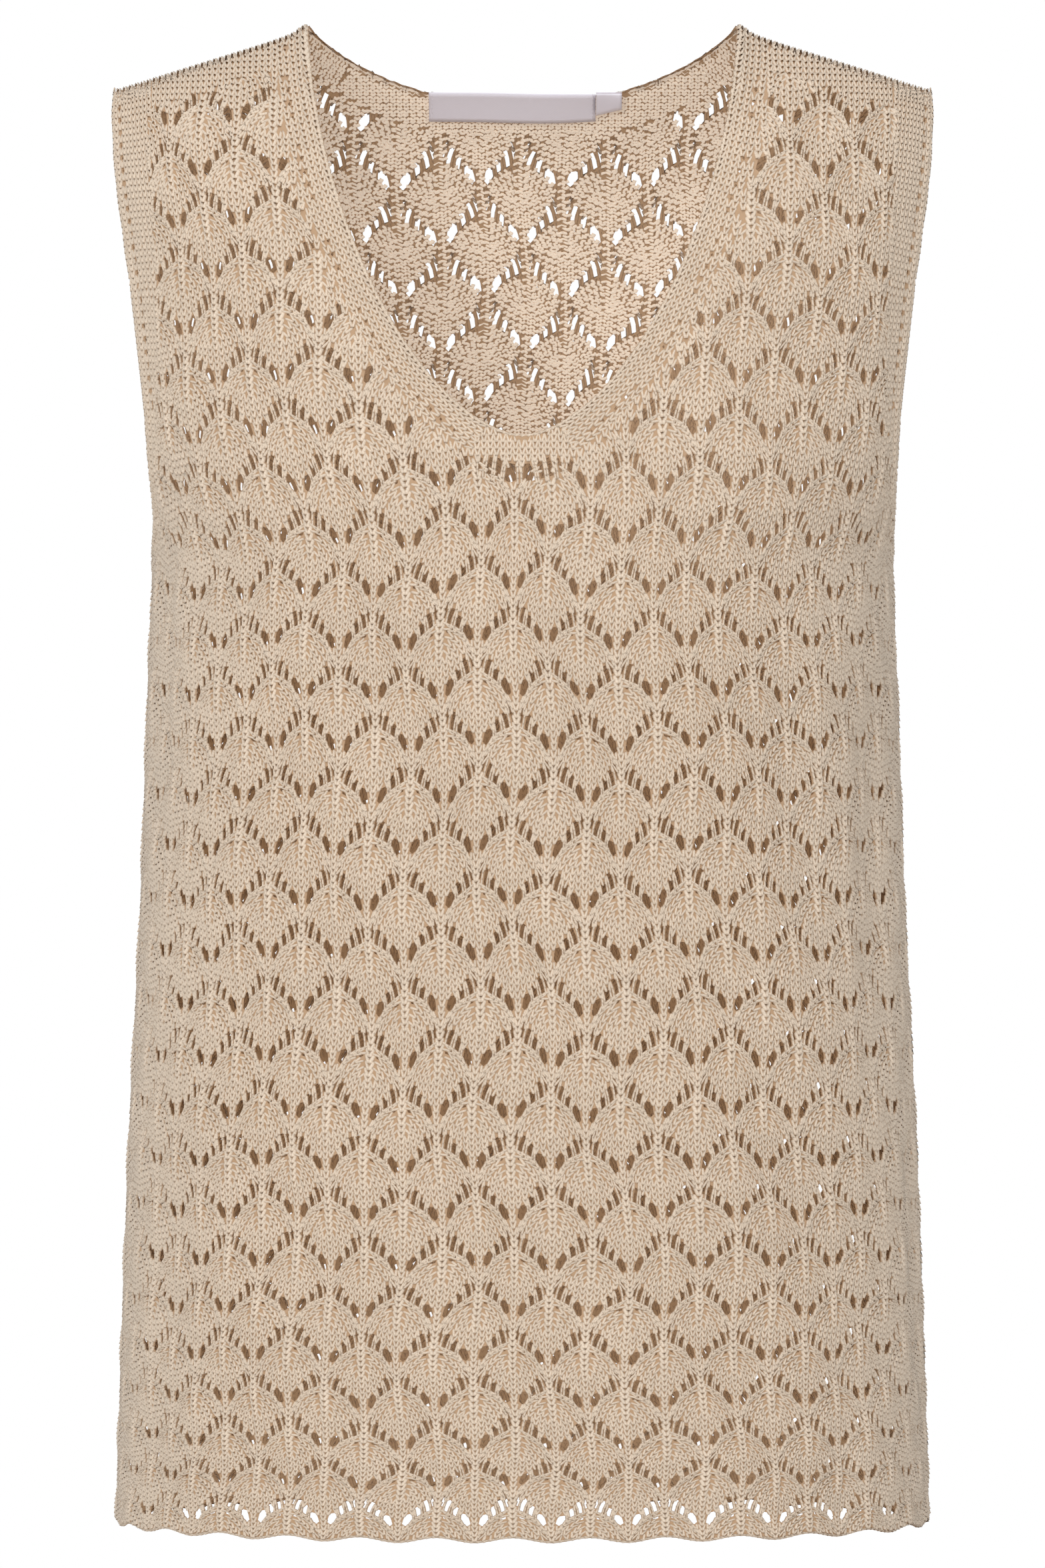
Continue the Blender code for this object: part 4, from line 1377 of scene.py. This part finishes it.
    def purl_loops(self) -> tuple[Points, Points, Points]:
        """Loops across the wales on the wrong side, where the neck opening shows it.

        Returns:
            Starts, ends and widths of the loops, in metres on the flat panel.
        """
        stitches = np.concatenate((
            self.lace_stitches()[0], self.border_stitches(), self.plain_stitches()))
        seen = (stitches[:, 1] > self.purl_foot) & (np.abs(stitches[:, 0]) < self.purl_reach)
        stitches = stitches[seen]
        middle, way, half = stitches[:, :2], stitches[:, 2:4], stitches[:, 4:5]
        sideways = -to_the_left(way)
        starts, ends = [], []
        for across, up, bend in ((0.0, 0.0, 0.4 * MM), (1.0, 0.5, -0.4 * MM)):
            centre = middle + sideways * half * across + way * self.plain_course * up
            centre = centre + self.random.normal(0.0, 0.1 * MM, centre.shape)
            for end_side in (-0.9, 0.9):
                starts.append(centre + sideways * half * end_side - way * bend)
                ends.append(centre - sideways * half * 0.12 * end_side + way * bend)
        path = resample(self.cut.neck.path, 2.3 * MM)
        way = np.diff(path, axis=0)
        rim = -unit(to_the_left(way)) * 1.4 * MM
        starts.append(path[:-1] + rim - way * 0.2)
        ends.append(path[1:] + rim + way * 0.2)
        start, end = np.concatenate(starts), np.concatenate(ends)
        middle = (start + end) / 2
        kept = self.cut.inside(middle) & (self.cut.distances(middle)["neck"] > 1.2 * MM)
        kept &= self.shown_by_neck(middle)
        width = np.full(len(start), 1.45 * MM)
        return start[kept], end[kept], width[kept]

    def leg_mesh(self, name: str, start: Points, end: Points, width: Points,
                 lift: Points, inward: bool = False) -> bpy.types.Mesh:
        """Lay copies of the leaf along the legs, as one joined mesh."""
        shape, faces = self.leg_template()
        way = end - start
        sideways = -unit(to_the_left(way))
        size = 1 + self.random.normal(0.0, 0.05, len(start))
        flat = (start[:, None] + way[:, None] * shape[None, :, 1:2]
                + sideways[:, None] * (width * size)[:, None, None] * shape[None, :, 0:1])
        # The upper tip tucks in under the next stitch, and the sides sink into the fabric
        rise = shape[:, 2] * self.leg_height - (1 - shape[:, 2]) * 0.22 * MM
        rise = rise + (0.5 - shape[:, 1]) * 0.45 * MM
        if inward:
            rise = -0.75 * shape[:, 2] * self.leg_height + (1 - shape[:, 2]) * 0.2 * MM
        ends = flat.reshape(-1, 2)
        total = self.relief(ends).reshape(len(start), -1) + lift[:, None] + rise[None]
        solid = self.lay(ends, total.ravel())
        data = bpy.data.meshes.new(name)
        joined = (faces[None] + (np.arange(len(start)) * len(shape))[:, None, None]).reshape(-1, 3)
        if (self.side is Side.BACK) != inward:
            joined = joined[:, ::-1]
        data.from_pydata(solid, [], joined)
        tone = np.repeat(self.random.random(len(start)), len(shape))
        # Painted shade: each leaf's rim gets a lower height for the colour, so it shows darker than its ridge
        height = np.tile(0.6 + 0.4 * shape[:, 2], len(start))
        self.paint(data, height, tone)
        strand = np.stack((2 * shape[:, 0], 2 * shape[:, 1] - 1, np.zeros(len(shape))), axis=1)
        strands = np.tile(strand, (len(start), 1)).astype(np.float32)
        layer = data.attributes.new("strand", "FLOAT_VECTOR", "POINT")
        layer.data.foreach_set("vector", strands.ravel())
        return data

    def build(self, yarn: bpy.types.Material, ground: bpy.types.Material,
              wrong_side: bpy.types.Material) -> None:
        """Args:
            yarn: Material of the raised stitches.
            ground: The same yarn where it lies deep in the fabric, with painted shade and a painted glow.
            wrong_side: The same yarn on the fabric's wrong side, with a lighter painted shade and a painted
                glow.
        """
        slot = self.side.label + "_knit"
        fabric = finished(self.side.label + "_fabric", self.fabric_mesh(), ground)
        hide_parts(self.side.label + "_panel")
        start, end, width, lift = self.gather_legs().arrays()
        middle = (start[:, 1] + end[:, 1]) / 2
        limits = np.quantile(middle, (0.0, 0.5, 1.0))
        for index, (low, high) in enumerate(zip(limits[:-1], limits[1:])):
            name = f"{self.side.label}_stitches_{index + 1}"
            chosen = (middle >= low) & ((middle < high) | (high == limits[-1]))
            mesh = self.leg_mesh(name, start[chosen], end[chosen], width[chosen], lift[chosen])
            finished(name, mesh, yarn)
        if self.side is Side.BACK:
            name = self.side.label + "_wrong_side"
            loops = self.purl_loops()
            mesh = self.leg_mesh(name, *loops, np.zeros(len(loops[0])), inward=True)
            finished(name, mesh, wrong_side)
        low, high = self.cut.worn_outline.min(axis=0), self.cut.worn_outline.max(axis=0)
        self.cut.area


@dataclass(frozen=True)
class SatinRibbon:
    """Woven polyester satin tape: smooth, slightly glossy, with fine slanting ridges."""

    name: str
    colour: str = "#D6CDDA"
    ridge: float = 0.5 * MM
    roughness: float = 0.42

    def make(self) -> bpy.types.Material:
        """Build the material."""
        material, tree, shader = shaded(self.name, {
            "Roughness": self.roughness, "Sheen Weight": 0.1})
        place = add_node(tree, "ShaderNodeTexCoord")
        turn = add_node(tree, "ShaderNodeMapping", {"Rotation": (0.0, 0.6, 0.0)},
                        {"Vector": place.outputs["Object"]})
        # Real ridges are some 0.1 mm apart, so they are drawn five times as coarse to show
        ridges = add_node(tree, "ShaderNodeTexWave", {
            "bands_direction": "X", "Scale": 0.314 / self.ridge, "Distortion": 0.6},
            {"Vector": turn.outputs["Vector"]})
        shade = [0.9 * part for part in linear(self.colour)[:3]] + [1.0]
        tint = add_node(tree, "ShaderNodeMix", {
            "data_type": "RGBA", 6: shade, 7: linear(self.colour)}, {0: ridges.outputs["Fac"]})
        tree.links.new(tint.outputs[2], shader.inputs["Base Color"])
        bump = add_node(tree, "ShaderNodeBump", {"Strength": 0.25, "Distance": 0.05 * MM},
                        {"Height": ridges.outputs["Fac"]})
        tree.links.new(bump.outputs["Normal"], shader.inputs["Normal"])
        return material


@dataclass
class NeckTapes:
    """The blank satin label inside the back neck, and the folded tab beside it."""

    left: float = -37.9 * MM
    right: float = 29.6 * MM
    top: float = -8.8 * MM
    height: float = 11.0 * MM
    thickness: float = 0.35 * MM
    stand_off: float = 0.55 * MM
    tab_left: float = 29.8 * MM
    tab_right: float = 40.2 * MM
    tab_top: float = -8.6 * MM
    tab_height: float = 9.2 * MM
    tab_gap: float = 1.5 * MM
    stitch_length: float = 1.3 * MM

    def __post_init__(self) -> None:
        """Take the shell that both tapes lie on."""
        self.shell = Shell(Side.BACK)

    def on_wall(self, across: Points, height: Points, off: Points) -> Points:
        """Points at a distance inwards from the inside of the back."""
        return self.shell.place(self.shell.along_at(across, height), height, -off)

    def tape(self, name: str, grid: bmesh.types.BMesh, materials: list[bpy.types.Material]) -> bpy.types.Object:
        """Turn a laid-out grid into a tape of real thickness."""
        bmesh.ops.recalc_face_normals(grid, faces=grid.faces)
        foremost = min(grid.faces, key=lambda face: face.calc_center_median().y)
        if foremost.normal.y > 0:
            bmesh.ops.reverse_faces(grid, faces=grid.faces)
        data = as_mesh(name, grid)
        piece = finished(name, data, materials[0])
        for extra in materials[1:]:
            data.materials.append(extra)
        thick = piece.modifiers.new("thickness", "SOLIDIFY")
        thick.thickness = self.thickness
        thick.offset = 0.0
        thick.material_offset = len(materials) - 1
        return piece

    def label(self, satin: bpy.types.Material) -> bpy.types.Object:
        """The label: nearly flat, with a soft wave and its short ends sewn down."""
        grid = bmesh.new()
        bmesh.ops.create_grid(grid, x_segments=44, y_segments=7, size=0.5)
        flat = np.array([vert.co[:2] for vert in grid.verts])
        across = (self.left + self.right) / 2 + flat[:, 0] * (self.right - self.left)
        height = self.top - self.height / 2 + flat[:, 1] * self.height
        # The lower edge dips a little towards the right end, the upper one towards the middle
        height -= (0.5 - flat[:, 1]) * 0.5 * MM * np.sin(pi * (flat[:, 0] + 0.5) ** 2)
        height -= (flat[:, 0] + 0.5) * 0.9 * MM * (flat[:, 1] + 0.5)
        belly = np.sin(pi * (flat[:, 0] + 0.5)) * (0.5 - flat[:, 1])
        off = self.stand_off + 0.35 * MM * belly + 0.12 * MM * np.sin(9 * flat[:, 0])
        for vert, place in zip(grid.verts, self.on_wall(across, height, off)):
            vert.co = place
        return self.tape("blank_label", grid, [satin])

    def label_stitches(self, thread: bpy.types.Material) -> bpy.types.Object:
        """Two upright rows of small machine stitches, one at each short end."""
        mesh = bmesh.new()
        for across in (self.left + 1.3 * MM, self.right - 1.2 * MM):
            for up in np.arange(0.9 * MM, self.height - 0.6 * MM, self.stitch_length * 1.25):
                made = bmesh.ops.create_icosphere(mesh, subdivisions=1, radius=0.5)["verts"]
                place = self.on_wall(np.array([across]), np.array([self.top - up]),
                                     np.array([self.stand_off + 0.28 * MM]))[0]
                bmesh.ops.scale(mesh, vec=(0.28 * MM, 0.22 * MM, self.stitch_length), verts=made)
                bmesh.ops.translate(mesh, vec=place, verts=made)
        return finished("label_stitches", as_mesh("label_stitches", mesh), thread)

    def tab(self, satin: bpy.types.Material, reverse: bpy.types.Material) -> bpy.types.Object:
        """The tab: one tape folded double, its front layer lifted at the low right corner."""
        grid = bmesh.new()
        bmesh.ops.create_grid(grid, x_segments=9, y_segments=26, size=0.5)
        flat = np.array([vert.co[:2] for vert in grid.verts])
        way = (flat[:, 1] + 0.5) * 2 - 1
        across = self.tab_left + (flat[:, 0] + 0.5) * (self.tab_right - self.tab_left)
        depth = 1 - np.abs(way) ** 6
        fold = np.clip(1 - np.abs(way) * 5, 0.0, 1.0) ** 2
        drop = (1 - np.abs(way)) * (self.tab_height - self.thickness) - fold * 0.3 * MM
        side = np.clip(way * 5, -1.0, 1.0)
        lifted = (flat[:, 0] + 0.5) ** 2 * depth * np.clip(way * 3, 0.0, 1.0) * 0.6 * MM
        off = self.stand_off + self.tab_gap / 2 + side * self.tab_gap / 2 * (0.35 + 0.65 * depth)
        height = self.tab_top - drop + (flat[:, 0] + 0.5) * 2.3 * MM * np.clip(drop / 8e-3, 0, 1)
        for vert, place in zip(grid.verts, self.on_wall(across, height, off + lifted)):
            vert.co = place
        return self.tape("folded_tab", grid, [satin, reverse])

    def build(self) -> None:
        satin = SatinRibbon("lilac_woven_satin", "#F8F4FF").make()
        reverse = SatinRibbon("brown_tape_reverse", "#8A4B3C", roughness=0.6).make()
        thread = SatinRibbon("pale_sewing_thread", "#E4DEE4", roughness=0.6).make()
        label = self.label(satin)
        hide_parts("neck_label")
        sewn = self.label_stitches(thread)
        tab = self.tab(satin, reverse)
        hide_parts("size_tab")


@dataclass(frozen=True)
class Studio:
    """Plain pale floor, soft light and the camera."""

    distance: float = 4.0
    eye_height: float = -0.2886
    frame_height: float = 0.6256
    floor_height: float = -0.74
    floor_radius: float = 1.35

    def camera(self) -> None:
        """Level camera in front of the top, with the photograph's framing."""
        lens = bpy.data.cameras.new("camera")
        lens.sensor_fit = "VERTICAL"
        lens.sensor_height = 24.0
        lens.lens = 24.0 * self.distance / self.frame_height
        lens.clip_end = 50.0
        camera = bpy.data.objects.new("camera", lens)
        camera.location = (0.0, -self.distance, self.eye_height)
        camera.rotation_euler = (pi / 2, 0.0, 0.0)
        bpy.context.scene.collection.objects.link(camera)
        bpy.context.scene.camera = camera

    def floor(self) -> None:
        """A round pale floor below the top, outside the camera's view."""
        mesh = bmesh.new()
        bmesh.ops.create_circle(mesh, cap_ends=True, segments=96, radius=self.floor_radius)
        bmesh.ops.translate(mesh, vec=(0.0, 0.0, self.floor_height), verts=mesh.verts)
        data = as_mesh("floor", mesh)
        # Matt white studio board
        board, _, _ = shaded("matt_white_board", {
            "Base Color": linear("#F4F3F1"), "Roughness": 0.85})
        data.materials.append(board)
        floor = bpy.data.objects.new("floor", data)
        bpy.context.scene.collection.objects.link(floor)

    def area_light(self, name: str, place: Vector, size: float, power: float) -> None:
        """One soft square light that looks at the middle of the top."""
        lamp = bpy.data.lights.new(name, "AREA")
        lamp.shape = "SQUARE"
        lamp.size = size
        lamp.energy = power
        light = bpy.data.objects.new(name, lamp)
        light.location = place
        aim = Vector((0.0, 0.0, -0.3)) - place
        light.rotation_euler = aim.to_track_quat("-Z", "Y").to_euler()
        bpy.context.scene.collection.objects.link(light)

    def lights(self) -> None:
        """White surroundings, with the main light high on the left of the front."""
        world = bpy.data.worlds.new("white_studio")
        bpy.context.scene.world = world
        world.use_nodes = True
        tree = world.node_tree
        ground = tree.nodes["Background"]
        ray = add_node(tree, "ShaderNodeLightPath")
        strength = add_node(tree, "ShaderNodeMath", {"operation": "MULTIPLY_ADD", 1: 0.36, 2: 0.64},
                            {0: ray.outputs["Is Camera Ray"]})
        ground.inputs["Color"].default_value = (1.0, 1.0, 1.0, 1.0)
        tree.links.new(strength.outputs[0], ground.inputs["Strength"])
        self.area_light("key_softbox", Vector((-1.0, -3.3, 1.0)), 1.5, 48.0)
        self.area_light("fill_softbox", Vector((1.9, -3.0, 0.3)), 2.0, 11.0)
        self.area_light("top_softbox", Vector((0.0, -0.9, 1.7)), 1.0, 8.0)
        bpy.context.scene.view_settings.view_transform = "Standard"

    def build(self) -> None:
        """Set up the whole studio."""
        self.camera()
        self.floor()
        self.lights()


def main() -> None:
    """Load the frame, build the top on it and finish."""
    logging.basicConfig(level=logging.INFO, format="%(message)s")
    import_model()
    Studio().build()
    yarn = CottonYarn("soft_spun_cotton_yarn").make()
    # The fabric under the legs: painted shade from its low height, and a painted glow for light through the
    # knit
    ground = CottonYarn("soft_spun_cotton_ground", glow=0.22).make()
    # The inside seen through the neck: a lighter painted shade and a stronger painted glow, standing for light
    # through the knit
    wrong_side = CottonYarn("soft_spun_cotton_wrong_side", painted_shade="#C6A988", glow=0.38,
                            daylight="#E2D4C4").make()
    for side in Side:
        KnitPanel(side).build(yarn, ground, wrong_side)
    NeckTapes().build()


if __name__ == "__main__":
    main()
